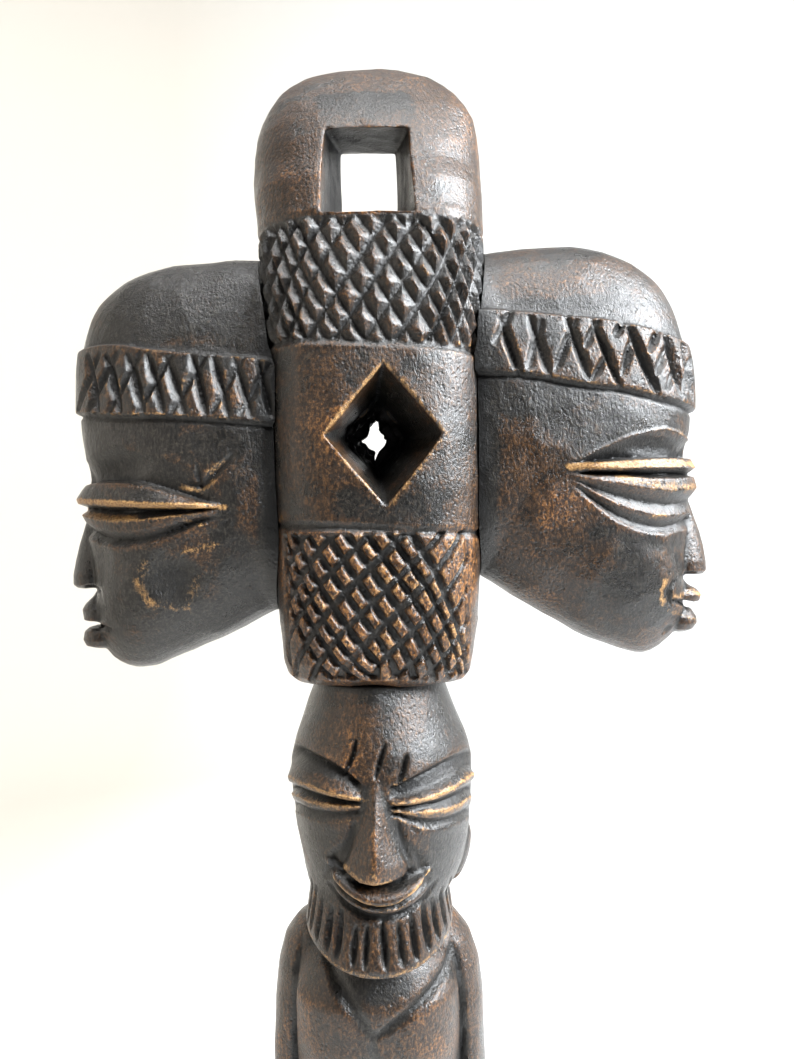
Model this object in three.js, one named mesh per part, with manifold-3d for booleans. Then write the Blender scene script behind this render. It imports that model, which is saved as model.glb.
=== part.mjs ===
// A carved wooden figure: a bearded man who carries a tall pierced headdress with a profile
// head on each side. Millimetres, +Z up, front towards -Y, origin under the middle of the base.
//
// The blocks are carved apart and pegged together: the figure, the headdress post and the two
// profile heads, on a plinth that is screwed on from below and covered with felt underneath.

import * as THREE from "three";
import { mergeVertices } from "three/addons/utils/BufferGeometryUtils.js";
import Module from "manifold-3d";

const wasm = await Module();
wasm.setup();

// ---------------------------------------------------------------- driving dimensions
const FELT = 1.5; // thickness of the felt sheet
const PLINTH_TOP = 30; // height of the plinth's upper face
const FOOTBOARD_TOP = 41; // upper face of the board that the figure stands on
const CROWN = 387; // underside of the headdress, on the bearded head's crown
const BAND_BOTTOM = 440; // top of the lower hatched block
const BLOCK_TOP = 501; // top of the plain block with the diamond hole
const CREST_BOTTOM = 545; // foot of the plain arched crest
const CREST_SPRING = 562; // where the crest's arch starts to curve in
const TOP = 609; // top of the crest
const POST_HALF_WIDTH = 40;
const POST_HALF_DEPTH = 38;
const SEAM = 37; // how far from the middle the profile heads' flat inner faces are
const GLUE_GAP = 0.3; // gap between blocks, and round each peg
const HEAD_HALF_DEPTH = 27; // half the thickness of a profile head, front to back

const PEG_RADIUS = 5;
const PEG_INSIDE = 17; // how deep a peg goes into the post, and into the head
const PEG_HEIGHTS = [444, 519];
const TENON_RADIUS = 9;
const TENON_DEPTH = 24;
const SCREW_RADIUS = 2.2;
const SCREW_HEAD_RADIUS = 4.4;
const SCREW_LENGTH = 40;
const SCREWS_AT = [-17, 17]; // the two screws' places along X

// ---------------------------------------------------------------- materials
const wood = (color) => new THREE.MeshStandardMaterial({ color, roughness: 0.42, metalness: 0 });
const darkWood = wood(0x2a1c14);
const headWood = wood(0x30211a);
const plinthWood = wood(0x1d1511);
const rawWood = wood(0xb58a56);
const steel = new THREE.MeshStandardMaterial({ color: 0x9a9a98, roughness: 0.35, metalness: 1 });
const feltCloth = new THREE.MeshStandardMaterial({ color: 0x23352a, roughness: 1, metalness: 0 });

// ---------------------------------------------------------------- solids from three.js shapes
// A closed geometry as a manifold-3d solid.
function solid(geometry) {
  const bare = geometry.clone();
  bare.deleteAttribute("normal");
  bare.deleteAttribute("uv");
  const merged = mergeVertices(bare, 1e-4);
  const mesh = new wasm.Mesh({
    numProp: 3,
    vertProperties: merged.attributes.position.array,
    triVerts: new Uint32Array(merged.index.array),
  });
  return new wasm.Manifold(mesh);
}

// A named mesh from a manifold-3d solid.
function named(name, made, material) {
  const { vertProperties, triVerts } = made.getMesh();
  const geometry = new THREE.BufferGeometry();
  geometry.setAttribute("position", new THREE.BufferAttribute(vertProperties, 3));
  geometry.setIndex(new THREE.BufferAttribute(triVerts, 1));
  geometry.computeVertexNormals();
  const mesh = new THREE.Mesh(geometry, material);
  mesh.name = name;
  return mesh;
}

const join = (solids) => solids.reduce((all, one) => all.add(one));
const cut = (body, cutters) => cutters.reduce((left, one) => left.subtract(one), body);

// An upright carved form: a cylinder whose rings each have their own height z, half width w,
// half depth d, centre x, y and squareness n, where 2 is an ellipse and 4 nearly a box.
function form(rings, sides = 24) {
  const geometry = new THREE.CylinderGeometry(1, 1, 1, sides, rings.length - 1);
  const place = geometry.attributes.position;
  const squared = (value, n) => Math.sign(value) * Math.abs(value) ** (2 / n);
  for (let i = 0; i < place.count; i++) {
    const ring = rings[Math.round((place.getY(i) + 0.5) * (rings.length - 1))];
    const { z, w, d, x = 0, y = 0, n = 2 } = ring;
    const across = squared(Math.round(place.getX(i) * 1e6) / 1e6, n);
    const deep = squared(Math.round(place.getZ(i) * 1e6) / 1e6, n);
    place.setXYZ(i, x + w * across, y - d * deep, z);
  }
  return solid(geometry);
}

// An ellipsoid with half sizes w, d, h at x, y, z, turned by the angle turn about +Y.
function blob(x, y, z, w, d, h, turn = 0, sides = 10) {
  const geometry = new THREE.SphereGeometry(1, sides, sides / 2);
  geometry.scale(w, d, h).rotateY(turn).translate(x, y, z);
  return solid(geometry);
}

// A smooth outline in the XZ plane, as thick as depth, centred on y = 0.
function slab(points, depth, segments = 2) {
  const [first, ...rest] = points.map(([x, z]) => new THREE.Vector2(x, z));
  const shape = new THREE.Shape();
  shape.moveTo(first.x, first.y);
  shape.splineThru(rest);
  shape.closePath();
  const settings = { depth, bevelEnabled: false, curveSegments: segments * rest.length };
  const geometry = new THREE.ExtrudeGeometry(shape, settings);
  geometry.rotateX(Math.PI / 2).translate(0, depth / 2, 0);
  return solid(geometry);
}

function box(x0, x1, y0, y1, z0, z1) {
  const geometry = new THREE.BoxGeometry(x1 - x0, y1 - y0, z1 - z0);
  geometry.translate((x0 + x1) / 2, (y0 + y1) / 2, (z0 + z1) / 2);
  return solid(geometry);
}

// A round tapering bar between two points, each [x, y, z].
function bar(from, to, fromRadius, toRadius = fromRadius, sides = 16) {
  const [start, end] = [new THREE.Vector3(...from), new THREE.Vector3(...to)];
  const along = end.clone().sub(start);
  const geometry = new THREE.CylinderGeometry(toRadius, fromRadius, along.length(), sides);
  const turn = new THREE.Quaternion();
  turn.setFromUnitVectors(new THREE.Vector3(0, 1, 0), along.clone().normalize());
  geometry.applyQuaternion(turn).translate(...start.add(end).multiplyScalar(0.5));
  return solid(geometry);
}

// An upright round bar at x, from one height to another.
const upright = (x, radius, from, to) => bar([x, 0, from], [x, 0, to], radius);

// A four-sided funnel through the post, wide at both faces and narrow at the neck in the middle.
// Each opening is {x, z, w, h}: its centre, half width and half height.
function funnel({ face, neck, back }, depth, diamond) {
  const half = (from, to, y0, y1) => {
    const geometry = new THREE.CylinderGeometry(1, 1, 1, 4);
    if (!diamond) geometry.rotateY(Math.PI / 4).scale(Math.SQRT2, 1, Math.SQRT2);
    const place = geometry.attributes.position;
    for (let i = 0; i < place.count; i++) {
      const end = place.getY(i) < 0 ? from : to;
      const y = place.getY(i) < 0 ? y0 : y1;
      place.setXYZ(i, end.x + end.w * place.getX(i), y, end.z + end.h * place.getZ(i));
    }
    return solid(geometry);
  };
  return half(face, neck, -depth, 0).add(half(neck, back, 0, depth));
}

// ---------------------------------------------------------------- headdress post
// A quarter superellipse: 1 at 0, falling to 0 at 1.
const arch = (t, n) => Math.max(0, 1 - Math.max(0, t) ** n) ** (1 / n);

function postRing(z) {
  let w = POST_HALF_WIDTH;
  let d = POST_HALF_DEPTH;
  if (z < BAND_BOTTOM) w = 34 + (4.6 * (z - CROWN)) / (BAND_BOTTOM - CROWN);
  else if (z >= BLOCK_TOP) w += (1.4 * (z - BLOCK_TOP)) / (CREST_SPRING - BLOCK_TOP);
  w *= arch((z - CREST_SPRING) / (TOP - CREST_SPRING), 2.3);
  if (z > CREST_BOTTOM) d = 34 * arch((z - CREST_BOTTOM) / (TOP + 0.5 - CREST_BOTTOM), 1.6);
  return { z, w: Math.max(w, 4), d: Math.max(d, 3), n: z > CREST_SPRING ? 2.5 : 2.8 };
}

const hangingSlot = {
  face: { x: -2.4, z: 563, w: 15.5, h: 15.5 },
  neck: { x: -2, z: 569, w: 10, h: 12 },
  back: { x: -2.4, z: 577, w: 15.5, h: 20 },
};
const diamondHole = {
  face: { x: 4, z: 471, w: 21, h: 25 },
  neck: { x: 0, z: 474.5, w: 5.6, h: 8 },
  back: { x: 4, z: 471, w: 21, h: 25 },
};

// A peg across the seam on one side, or, grown by the gap, the hole that holds it.
function sidePeg(side, z, gap = 0) {
  const reach = PEG_INSIDE + gap;
  return bar([side * (SEAM - reach), 0, z], [side * (SEAM + reach), 0, z], PEG_RADIUS + gap);
}

function crownTenon(gap = 0) {
  return upright(0, TENON_RADIUS + gap, CROWN - TENON_DEPTH - gap, CROWN + TENON_DEPTH + gap);
}

const pegHoles = (side) => PEG_HEIGHTS.map((z) => sidePeg(side, z, GLUE_GAP));

function headdressPost() {
  const groove = 1.5; // depth of the carved lines between the fields
  const heights = [CROWN, CROWN + 4, CROWN + 12, 414, BAND_BOTTOM - 1, BAND_BOTTOM, 470,
    BLOCK_TOP - 4, BLOCK_TOP - 0.5, BLOCK_TOP + 1, 524, CREST_BOTTOM - 2, CREST_BOTTOM, 553,
    CREST_SPRING, 572, 581, 589, 596, 601, 605, 607.5, TOP];
  const rings = heights.map((z) => {
    const ring = postRing(z);
    const onLine = Math.abs(z - BLOCK_TOP) < 1 || z === CREST_BOTTOM;
    const inset = z === CROWN ? 2.5 : onLine ? groove : 0;
    return { ...ring, w: ring.w - inset, d: ring.d - inset };
  });
  const seat = (side) => {
    const [near, far] = [SEAM - GLUE_GAP, 60].map((x) => side * x);
    return box(Math.min(near, far), Math.max(near, far), -60, 60, 408, 543);
  };
  return cut(form(rings, 32), [
    funnel(hangingSlot, 34, false),
    funnel(diamondHole, POST_HALF_DEPTH, true),
    seat(-1),
    seat(1),
    ...pegHoles(-1),
    ...pegHoles(1),
    crownTenon(GLUE_GAP),
  ]);
}

// ---------------------------------------------------------------- profile heads
// Each outline runs from the crown at the seam, over the forehead and down to the jaw. A point
// is [distance out from the middle, height].
const leftHead = {
  side: -1,
  outline: [[SEAM, 538.5], [64, 538.5], [82, 537], [95, 531], [106, 517], [109.5, 501], [107.5, 478],
    [104, 462], [102.5, 446], [104, 430], [104.5, 415], [103, 402], [96, 393.5], [86, 391.5],
    [67, 398.5], [50, 405], [SEAM, 411]],
  band: { inner: [477.6, 499.6], outer: [482.5, 506] },
  eye: { z: 450, x: 80, reach: 29 },
  nose: { top: 446, bottom: 421, out: 112.6 },
  mouth: { upper: 412, lower: 403, out: 109 },
};
const rightHead = {
  side: 1,
  outline: [[SEAM, 541.5], [64, 543.5], [84, 542.5], [98, 535.5], [110, 521], [118, 503], [118.5, 487],
    [115.5, 470], [112, 450], [111, 430], [112, 415], [110, 402], [102, 394.5], [93, 393],
    [72, 403], [54, 413.5], [SEAM, 423]],
  band: { inner: [493, 516], outer: [482, 505] },
  eye: { z: 459, x: 89, reach: 31 },
  nose: { top: 450, bottom: 421, out: 122 },
  mouth: { upper: 413.5, lower: 403.5, out: 119 },
};

// The raised band round a head: the skull grown a little, between two slanting lines.
function headBand({ side, band }, skull) {
  const [bottom, top] = [band.inner[0], band.inner[1]];
  const slope = (band.outer[1] - top) / 70;
  const height = top - bottom;
  const strip = new THREE.BoxGeometry(200, 100, height);
  strip.applyMatrix4(new THREE.Matrix4().set(1, 0, 0, side * SEAM, 0, 1, 0, 0,
    side * slope, 0, 1, bottom + height / 2, 0, 0, 0, 1));
  return skull.scale([1.025, 1.07, 1]).intersect(solid(strip));
}

function profileHead(head) {
  const { side, outline, eye, nose, mouth } = head;
  const depth = 2 * HEAD_HALF_DEPTH;
  const blank = slab(outline.map(([x, z]) => [side * x, z]), depth);
  const skull = blank.intersect(blob(side * 46, 0, 464, 86, HEAD_HALF_DEPTH, 100, 0, 20));
  const noseRings = [
    { z: nose.bottom, w: 7, d: 7.5, x: side * (nose.out - 8) },
    { z: nose.bottom + 5, w: 7, d: 7, x: side * (nose.out - 7) },
    { z: (nose.top + nose.bottom) / 2 + 3, w: 6, d: 4.5, x: side * (nose.out - 9.5) },
    { z: nose.top, w: 4, d: 3, x: side * (nose.out - 10) },
  ];
  const lip = (z, size) => blob(side * (mouth.out - 7), 0, z, 7.5, 12, size);
  const lids = [-1, 1].flatMap((face) => [
    blob(side * eye.x, face * 17, eye.z + 2.5, eye.reach, 7.5, 4),
    blob(side * (eye.x + 3), face * 16.5, eye.z - 4, eye.reach - 6, 7, 4),
  ]);
  const whole = join([skull, headBand(head, skull), form(noseRings, 12),
    lip(mouth.upper, 3.6), lip(mouth.lower, 4), ...lids]);
  const beyond = box(Math.min(0, side * SEAM), Math.max(0, side * SEAM), -70, 70, 300, 700);
  return cut(whole, [beyond, ...pegHoles(side)]);
}

// ---------------------------------------------------------------- bearded figure
function beardedHead() {
  const skull = form([
    { z: 296, w: 19, d: 19, y: -3 },
    { z: 310, w: 26, d: 29, y: -4 },
    { z: 326, w: 31.5, d: 34, y: -2 },
    { z: 342, w: 33.5, d: 36, y: -1.5 },
    { z: 354, w: 33.8, d: 36, y: -1 },
    { z: 366, w: 31.5, d: 34, y: -0.5 },
    { z: 378, w: 27.5, d: 30 },
    { z: CROWN - GLUE_GAP, w: 24.5, d: 27 },
  ]);
  const beard = form([
    { z: 292, w: 19, d: 24, y: -12, n: 2.2 },
    { z: 297, w: 22.5, d: 29, y: -12, n: 2.2 },
    { z: 309, w: 26.5, d: 29, y: -9.5, n: 2.2 },
    { z: 322, w: 27, d: 26, y: -8 },
  ]);
  const nose = form([
    { z: 327.5, w: 10.5, d: 7, y: -36.5, n: 2.2 },
    { z: 334, w: 9, d: 8, y: -36 },
    { z: 345, w: 4.5, d: 6, y: -34.5 },
    { z: 354, w: 3.5, d: 4, y: -33.5 },
  ], 14);
  const lips = [blob(-0.5, -32, 321.5, 17, 8.5, 3.4), blob(-0.5, -31, 316, 14.5, 9, 3.6)];
  const lids = [-1, 1].flatMap((side) => [
    blob(side * 19, -26.5, 352.5, 14, 7.5, 3, side * 0.22),
    blob(side * 18.5, -26, 346.5, 13, 7, 2.8, side * 0.18),
  ]);
  const ears = [-1, 1].map((side) => blob(side * 31, 1, 318, 3.2, 8.5, 11));
  return [skull, beard, nose, ...lips, ...lids, ...ears];
}

function trunkAndArms() {
  const trunk = form([
    { z: 150, w: 29, d: 25, x: -1.5 },
    { z: 178, w: 28, d: 26.5, x: -2, y: -2 },
    { z: 205, w: 27, d: 25.5, x: -3, y: -1 },
    { z: 235, w: 29, d: 26.5, x: -4, y: -1 },
    { z: 262, w: 30.5, d: 29, x: -4, y: -2, n: 2.5 },
    { z: 278, w: 31, d: 29.5, x: -4, y: -2, n: 2.5 },
    { z: 289, w: 27.5, d: 27, x: -4, y: -1 },
    { z: 297, w: 21, d: 21, x: -3.5, y: 1 },
    { z: 302, w: 16, d: 17, x: -3, y: 2 },
  ]);
  const arm = (side) => form([
    { z: 196, w: 8, d: 10, x: side * 28.5 - 3.6, y: -2 },
    { z: 204, w: 9.6, d: 12.5, x: side * 29.5 - 3.6, y: -1 },
    { z: 225, w: 9.2, d: 12.5, x: side * 30 - 3.8, y: 1 },
    { z: 250, w: 9.4, d: 13.5, x: side * 30 - 4.1, y: 2 },
    { z: 268, w: 9.6, d: 14.5, x: side * 28.8 - 3.7, y: 2 },
    { z: 280, w: 9.6, d: 14.5, x: side * 27.2 - 3.6, y: 2 },
    { z: 289, w: 9.2, d: 13.4, x: side * 24.6 - 3.7, y: 2 },
    { z: 295, w: 7.4, d: 10.6, x: side * 21 - 4, y: 2 },
  ], 20);
  const forearm = (side) => bar([side * 29.5 - 3.5, -4, 203], [side * 9 - 2, -27.5, 206], 9, 6.5);
  const hand = (side) => blob(side * 7.5 - 1.5, -28.5, 208, 9, 5.5, 7.5);
  return [trunk, ...[-1, 1].flatMap((side) => [arm(side), forearm(side), hand(side)])];
}

function skirtLegsAndFeet() {
  const skirt = form([
    { z: 112, w: 32, d: 29.5, n: 2.3 },
    { z: 116, w: 33, d: 30.5, n: 2.3 },
    { z: 136, w: 32, d: 29.5, n: 2.2 },
    { z: 160, w: 30.5, d: 28, y: -1 },
    { z: 172, w: 29.5, d: 28, y: -2 },
    { z: 176, w: 28, d: 26.5, y: -2 },
  ]);
  const leg = (side) => form([
    { z: FOOTBOARD_TOP - 3, w: 10.5, d: 13, x: side * 17, y: 4 },
    { z: 50, w: 10, d: 12.5, x: side * 17, y: 4 },
    { z: 68, w: 12, d: 15, x: side * 16.5, y: 5 },
    { z: 86, w: 12, d: 14, x: side * 16, y: 0 },
    { z: 94, w: 12.5, d: 15, x: side * 16, y: -3 },
    { z: 118, w: 13.5, d: 17, x: side * 15.5, y: 0 },
  ], 24);
  const foot = (side) => form([
    { z: FOOTBOARD_TOP - 3, w: 11, d: 24, x: side * 17.5, y: -10, n: 2.4 },
    { z: FOOTBOARD_TOP + 4, w: 11, d: 23.5, x: side * 17.5, y: -10, n: 2.4 },
    { z: FOOTBOARD_TOP + 10, w: 9, d: 17, x: side * 17.5, y: -4 },
    { z: FOOTBOARD_TOP + 16, w: 7, d: 9, x: side * 17.5, y: 3 },
  ], 24);
  const board = form([
    { z: PLINTH_TOP + GLUE_GAP, w: 40, d: 40, n: 2.6 },
    { z: FOOTBOARD_TOP - 2, w: 39.5, d: 39.5, n: 2.6 },
    { z: FOOTBOARD_TOP, w: 38, d: 38, n: 2.6 },
  ]);
  return [skirt, board, ...[-1, 1].flatMap((side) => [leg(side), foot(side)])];
}

// The V cuts that part the beard into locks.
function beardCuts() {
  const locks = 13;
  const middle = new THREE.Vector3(0, -10, 304);
  return Array.from({ length: locks }, (_, i) => {
    const angle = (i / (locks - 1) - 0.5) * Math.PI * 0.94;
    const geometry = new THREE.CylinderGeometry(1.6, 1.6, 21, 4);
    geometry.rotateX(Math.PI / 2).rotateX(0.12).translate(0, -28.6, 0);
    geometry.scale(0.92, 1, 1).rotateZ(angle).translate(middle.x, middle.y, middle.z - 1);
    return solid(geometry);
  });
}

function beardedFigure() {
  const body = join([...beardedHead(), ...trunkAndArms(), ...skirtLegsAndFeet()]);
  const holeTop = FELT + SCREW_LENGTH + 5;
  const holes = SCREWS_AT.map((x) => upright(x, SCREW_RADIUS + GLUE_GAP, PLINTH_TOP - 1, holeTop));
  const above = box(-60, 60, -60, 60, CROWN - GLUE_GAP, CROWN + 60);
  return cut(body, [...beardCuts(), crownTenon(GLUE_GAP), above, ...holes]);
}

// ---------------------------------------------------------------- plinth and fastenings
function plinth() {
  const body = form([
    { z: FELT, w: 58, d: 52, n: 5 },
    { z: FELT + 4, w: 60, d: 54, n: 5 },
    { z: PLINTH_TOP - 6, w: 58, d: 52, n: 5 },
    { z: PLINTH_TOP - 2, w: 56.5, d: 50.5, n: 5 },
    { z: PLINTH_TOP, w: 54.5, d: 48.5, n: 5 },
  ], 32);
  return cut(body, SCREWS_AT.flatMap((x) => [
    upright(x, SCREW_RADIUS + GLUE_GAP, 0, PLINTH_TOP + 1),
    upright(x, SCREW_HEAD_RADIUS + GLUE_GAP, 0, FELT + 5),
  ]));
}

function screw(x) {
  const headTop = FELT + 4.5;
  const shank = upright(x, SCREW_RADIUS, headTop - 1, headTop + SCREW_LENGTH - 5);
  const head = upright(x, SCREW_HEAD_RADIUS, FELT + GLUE_GAP, headTop);
  const slot = box(x - 6, x + 6, -0.6, 0.6, 0, FELT + 1.6);
  return cut(shank.add(head), [slot]);
}

function feltSheet() {
  const { w, d, n } = { w: 55, d: 49, n: 5 };
  return form([{ z: 0, w, d, n }, { z: FELT - 0.05, w, d, n }], 32);
}

// ---------------------------------------------------------------- the assembly
const figure = new THREE.Group();
figure.add(
  named("bearded_figure", beardedFigure(), darkWood),
  named("headdress_post", headdressPost(), darkWood),
  named("left_profile_head", profileHead(leftHead), headWood),
  named("right_profile_head", profileHead(rightHead), headWood),
  named("crown_tenon", crownTenon(), rawWood),
  named("plinth", plinth(), plinthWood),
  named("felt_sheet", feltSheet(), feltCloth),
);
const SIDES = { left: -1, right: 1 };
Object.entries(SIDES).forEach(([sideName, side], i) => {
  figure.add(
    named(`${sideName}_peg_lower`, sidePeg(side, PEG_HEIGHTS[0]), rawWood),
    named(`${sideName}_peg_upper`, sidePeg(side, PEG_HEIGHTS[1]), rawWood),
    named(`${sideName}_plinth_screw`, screw(SCREWS_AT[i]), steel),
  );
});

export default figure;
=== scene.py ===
# A carved wooden figure with a pierced headdress and two profile heads, on a plinth.
# Sizes in the shaping functions are millimetres; objects are in metres.
import math

import bpy
import numpy as np
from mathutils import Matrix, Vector, kdtree


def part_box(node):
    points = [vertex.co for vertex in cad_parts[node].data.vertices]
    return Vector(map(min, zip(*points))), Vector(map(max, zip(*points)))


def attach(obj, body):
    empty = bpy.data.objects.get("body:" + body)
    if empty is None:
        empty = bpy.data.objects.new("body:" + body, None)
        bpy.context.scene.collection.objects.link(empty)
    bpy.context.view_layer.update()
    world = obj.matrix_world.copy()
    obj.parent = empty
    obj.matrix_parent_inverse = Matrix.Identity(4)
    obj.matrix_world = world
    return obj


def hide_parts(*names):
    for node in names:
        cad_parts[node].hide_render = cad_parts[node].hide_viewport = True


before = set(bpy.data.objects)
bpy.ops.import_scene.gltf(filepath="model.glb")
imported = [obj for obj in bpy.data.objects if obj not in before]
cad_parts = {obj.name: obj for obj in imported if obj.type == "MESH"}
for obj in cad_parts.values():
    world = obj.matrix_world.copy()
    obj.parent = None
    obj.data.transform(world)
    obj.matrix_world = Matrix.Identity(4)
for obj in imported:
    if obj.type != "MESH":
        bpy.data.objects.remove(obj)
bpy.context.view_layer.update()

MM = 0.001


# ------------------------------------------------------------------ bench tools
def put_down():
    """Nothing selected."""
    if bpy.context.object and bpy.context.object.mode != "OBJECT":
        bpy.ops.object.mode_set(mode="OBJECT")
    bpy.ops.object.select_all(action="DESELECT")


def pick(*pieces):
    put_down()
    for piece in pieces:
        piece.select_set(True)
    bpy.context.view_layer.objects.active = pieces[0]


def settle(piece):
    """Puts the piece's place, turn and size into its mesh."""
    pick(piece)
    bpy.ops.object.transform_apply(location=True, rotation=True, scale=True)
    return piece


def points(piece):
    """The piece's points, in millimetres."""
    co = np.empty(len(piece.data.vertices) * 3)
    piece.data.vertices.foreach_get("co", co)
    return co.reshape(-1, 3) / MM


def set_points(piece, co):
    piece.data.vertices.foreach_set("co", (co * MM).ravel())
    piece.data.update()


def facing(piece):
    """The outward direction at each point."""
    normal = np.empty(len(piece.data.vertices) * 3)
    piece.data.vertex_normals.foreach_get("vector", normal)
    return normal.reshape(-1, 3)


def modify(piece, kind, **settings):
    pick(piece)
    tool = piece.modifiers.new("tool", kind)
    for key, value in settings.items():
        setattr(tool, key, value)
    bpy.ops.object.modifier_apply(modifier="tool")
    return piece


def face_outward(piece):
    pick(piece)
    bpy.ops.object.mode_set(mode="EDIT")
    bpy.ops.mesh.select_all(action="SELECT")
    bpy.ops.mesh.normals_make_consistent(inside=False)
    bpy.ops.object.mode_set(mode="OBJECT")
    return piece


def cut_away(piece, cutter):
    modify(piece, "BOOLEAN", operation="DIFFERENCE", solver="MANIFOLD", object=cutter)
    bpy.data.objects.remove(cutter)
    return piece


def fuse(name, lumps, grain, smoothing=3):
    """Glues rough lumps into one even skin with facets of the size grain."""
    pick(*lumps)
    if len(lumps) > 1:
        bpy.ops.object.join()
    piece = bpy.context.object
    piece.name = name
    modify(piece, "REMESH", mode="VOXEL", voxel_size=grain * MM, use_smooth_shade=True)
    return modify(piece, "SMOOTH", factor=0.5, iterations=smoothing)


# ------------------------------------------------------------------ rough lumps
def ball(x, y, z, w, d, h, lean=0.0, roll=0.0):
    """An egg with half sizes w, d, h, leaning about the X axis and rolled about the Y axis."""
    put_down()
    bpy.ops.mesh.primitive_uv_sphere_add(segments=40, ring_count=24, radius=MM)
    egg = bpy.context.object
    egg.scale = (w, d, h)
    egg.rotation_euler = (lean, roll, 0)
    egg.location = Vector((x, y, z)) * MM
    return settle(egg)


def block(x0, x1, y0, y1, z0, z1):
    put_down()
    middle = Vector(((x0 + x1) / 2, (y0 + y1) / 2, (z0 + z1) / 2)) * MM
    bpy.ops.mesh.primitive_cube_add(size=1, location=middle)
    piece = bpy.context.object
    piece.scale = Vector((x1 - x0, y1 - y0, z1 - z0)) * MM
    return settle(piece)


def bar(start, end, r0, r1, sides=32):
    """A round bar from start to end, tapering from r0 to r1."""
    a, b = Vector(start), Vector(end)
    put_down()
    bpy.ops.mesh.primitive_cone_add(
        vertices=sides, radius1=r0 * MM, radius2=r1 * MM, depth=(b - a).length * MM
    )
    piece = bpy.context.object
    piece.rotation_euler = (b - a).to_track_quat("Z", "Y").to_euler()
    piece.location = (a + b) / 2 * MM
    return settle(piece)


def squared(value, n):
    return np.sign(value) * np.abs(value) ** (2 / n)


def upright_form(rings, sides=64):
    """A cylinder whose rings are (z, half width, half depth, x, y, squareness)."""
    rings = np.array([tuple(r) + (0, 0, 2)[len(r) - 3:] for r in rings], float)
    put_down()
    bpy.ops.mesh.primitive_cylinder_add(vertices=sides, radius=1, depth=1)
    piece = bpy.context.object
    bpy.ops.object.mode_set(mode="EDIT")
    bpy.ops.mesh.select_mode(type="EDGE")
    bpy.ops.object.mode_set(mode="OBJECT")
    for edge in piece.data.edges:
        a, b = (piece.data.vertices[v].co.z for v in edge.vertices)
        edge.select = abs(a - b) > 0.5
    bpy.ops.object.mode_set(mode="EDIT")
    bpy.ops.mesh.subdivide(number_cuts=len(rings) - 2)
    bpy.ops.object.mode_set(mode="OBJECT")
    co = points(piece) * MM
    row = np.rint((co[:, 2] + 0.5) * (len(rings) - 1)).astype(int)
    z, w, d, x, y, n = rings[row].T
    radius = np.hypot(co[:, 0], co[:, 1])
    across, deep = co[:, 0] / radius, co[:, 1] / radius
    shaped = np.stack([x + w * squared(across, n), y + d * squared(deep, n), z], 1)
    set_points(piece, shaped)
    return piece


def eased(at, stations, values):
    """Values at the stations, joined by a smooth line that never overshoots."""
    stations, values = np.asarray(stations, float), np.asarray(values, float)
    rise = np.diff(values) / np.diff(stations)
    slope = np.concatenate([rise[:1], (rise[1:] + rise[:-1]) / 2, rise[-1:]])
    flat = np.concatenate([[False], rise[1:] * rise[:-1] <= 0, [False]])
    slope[flat] = 0
    i = np.clip(np.searchsorted(stations, at) - 1, 0, len(rise) - 1)
    span = stations[i + 1] - stations[i]
    t = np.clip((at - stations[i]) / span, 0, 1)
    a, b = values[i], values[i + 1]
    bend = t * t * (3 - 2 * t)
    return a + (b - a) * bend + span * t * (1 - t) * (slope[i] * (1 - t) - slope[i + 1] * t)


def closed_line(corners, count):
    """A smooth closed line through the corners, as count evenly spaced points."""
    p = np.array(corners, float)
    before, after, later = np.roll(p, 1, 0), np.roll(p, -1, 0), np.roll(p, -2, 0)
    t = np.linspace(0, 1, 12, endpoint=False)[:, None, None]
    curve = 0.5 * (2 * p + (after - before) * t + (2 * before - 5 * p + 4 * after - later) * t**2
                   + (3 * p - before - 3 * after + later) * t**3)
    curve = curve.transpose(1, 0, 2).reshape(-1, 2)
    length = np.linalg.norm(np.roll(curve, -1, 0) - curve, axis=1)
    along = np.concatenate([[0], np.cumsum(length)])
    curve = np.vstack([curve, curve[:1]])
    at = np.linspace(0, along[-1], count, endpoint=False)
    return np.stack([np.interp(at, along, curve[:, k]) for k in (0, 1)], 1)


def lens_form(outline, middle, half, fullness=2.4, steps=14):
    """A flat-sided lens: the outline in the XZ plane, swelling to half its thickness."""
    ring = closed_line(outline, 150)
    put_down()
    bpy.ops.mesh.primitive_circle_add(vertices=len(ring), fill_type="NGON", radius=1)
    piece = bpy.context.object
    set_points(piece, np.stack([ring[:, 0], np.zeros(len(ring)), ring[:, 1]], 1))
    centre = Vector((middle[0], 0, middle[1])) * MM
    angles = np.linspace(0, math.pi / 2, steps + 1)
    size = np.maximum(np.cos(angles), 0.02) ** (2 / fullness)
    out = half * MM * np.sin(angles) ** (2 / fullness)
    for side in (-1, 1):
        bpy.ops.object.mode_set(mode="EDIT")
        bpy.ops.mesh.select_mode(type="FACE")
        bpy.ops.mesh.select_all(action="DESELECT")
        bpy.ops.object.mode_set(mode="OBJECT")
        for face in piece.data.polygons:
            face.select = len(face.vertices) > 4 and abs(face.center.y) < 1e-6
        bpy.ops.object.mode_set(mode="EDIT")
        for k in range(steps):
            move = (0, side * (out[k + 1] - out[k]), 0)
            bpy.ops.mesh.extrude_region_move(TRANSFORM_OT_translate={"value": move})
            scale = size[k + 1] / size[k]
            bpy.ops.transform.resize(value=(scale, 1, scale), center_override=centre)
        bpy.ops.object.mode_set(mode="OBJECT")
    return face_outward(piece)


# ------------------------------------------------------------------ knife work
def fade(value, start, end):
    """0 before start, 1 after end, and smooth between."""
    t = np.clip((value - start) / (end - start), 0, 1)
    return t * t * (3 - 2 * t)


def ditch(away, width):
    """1 along a line, falling straight to 0 at width away from it."""
    return np.clip(1 - np.abs(away) / width, 0, 1)


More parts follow.
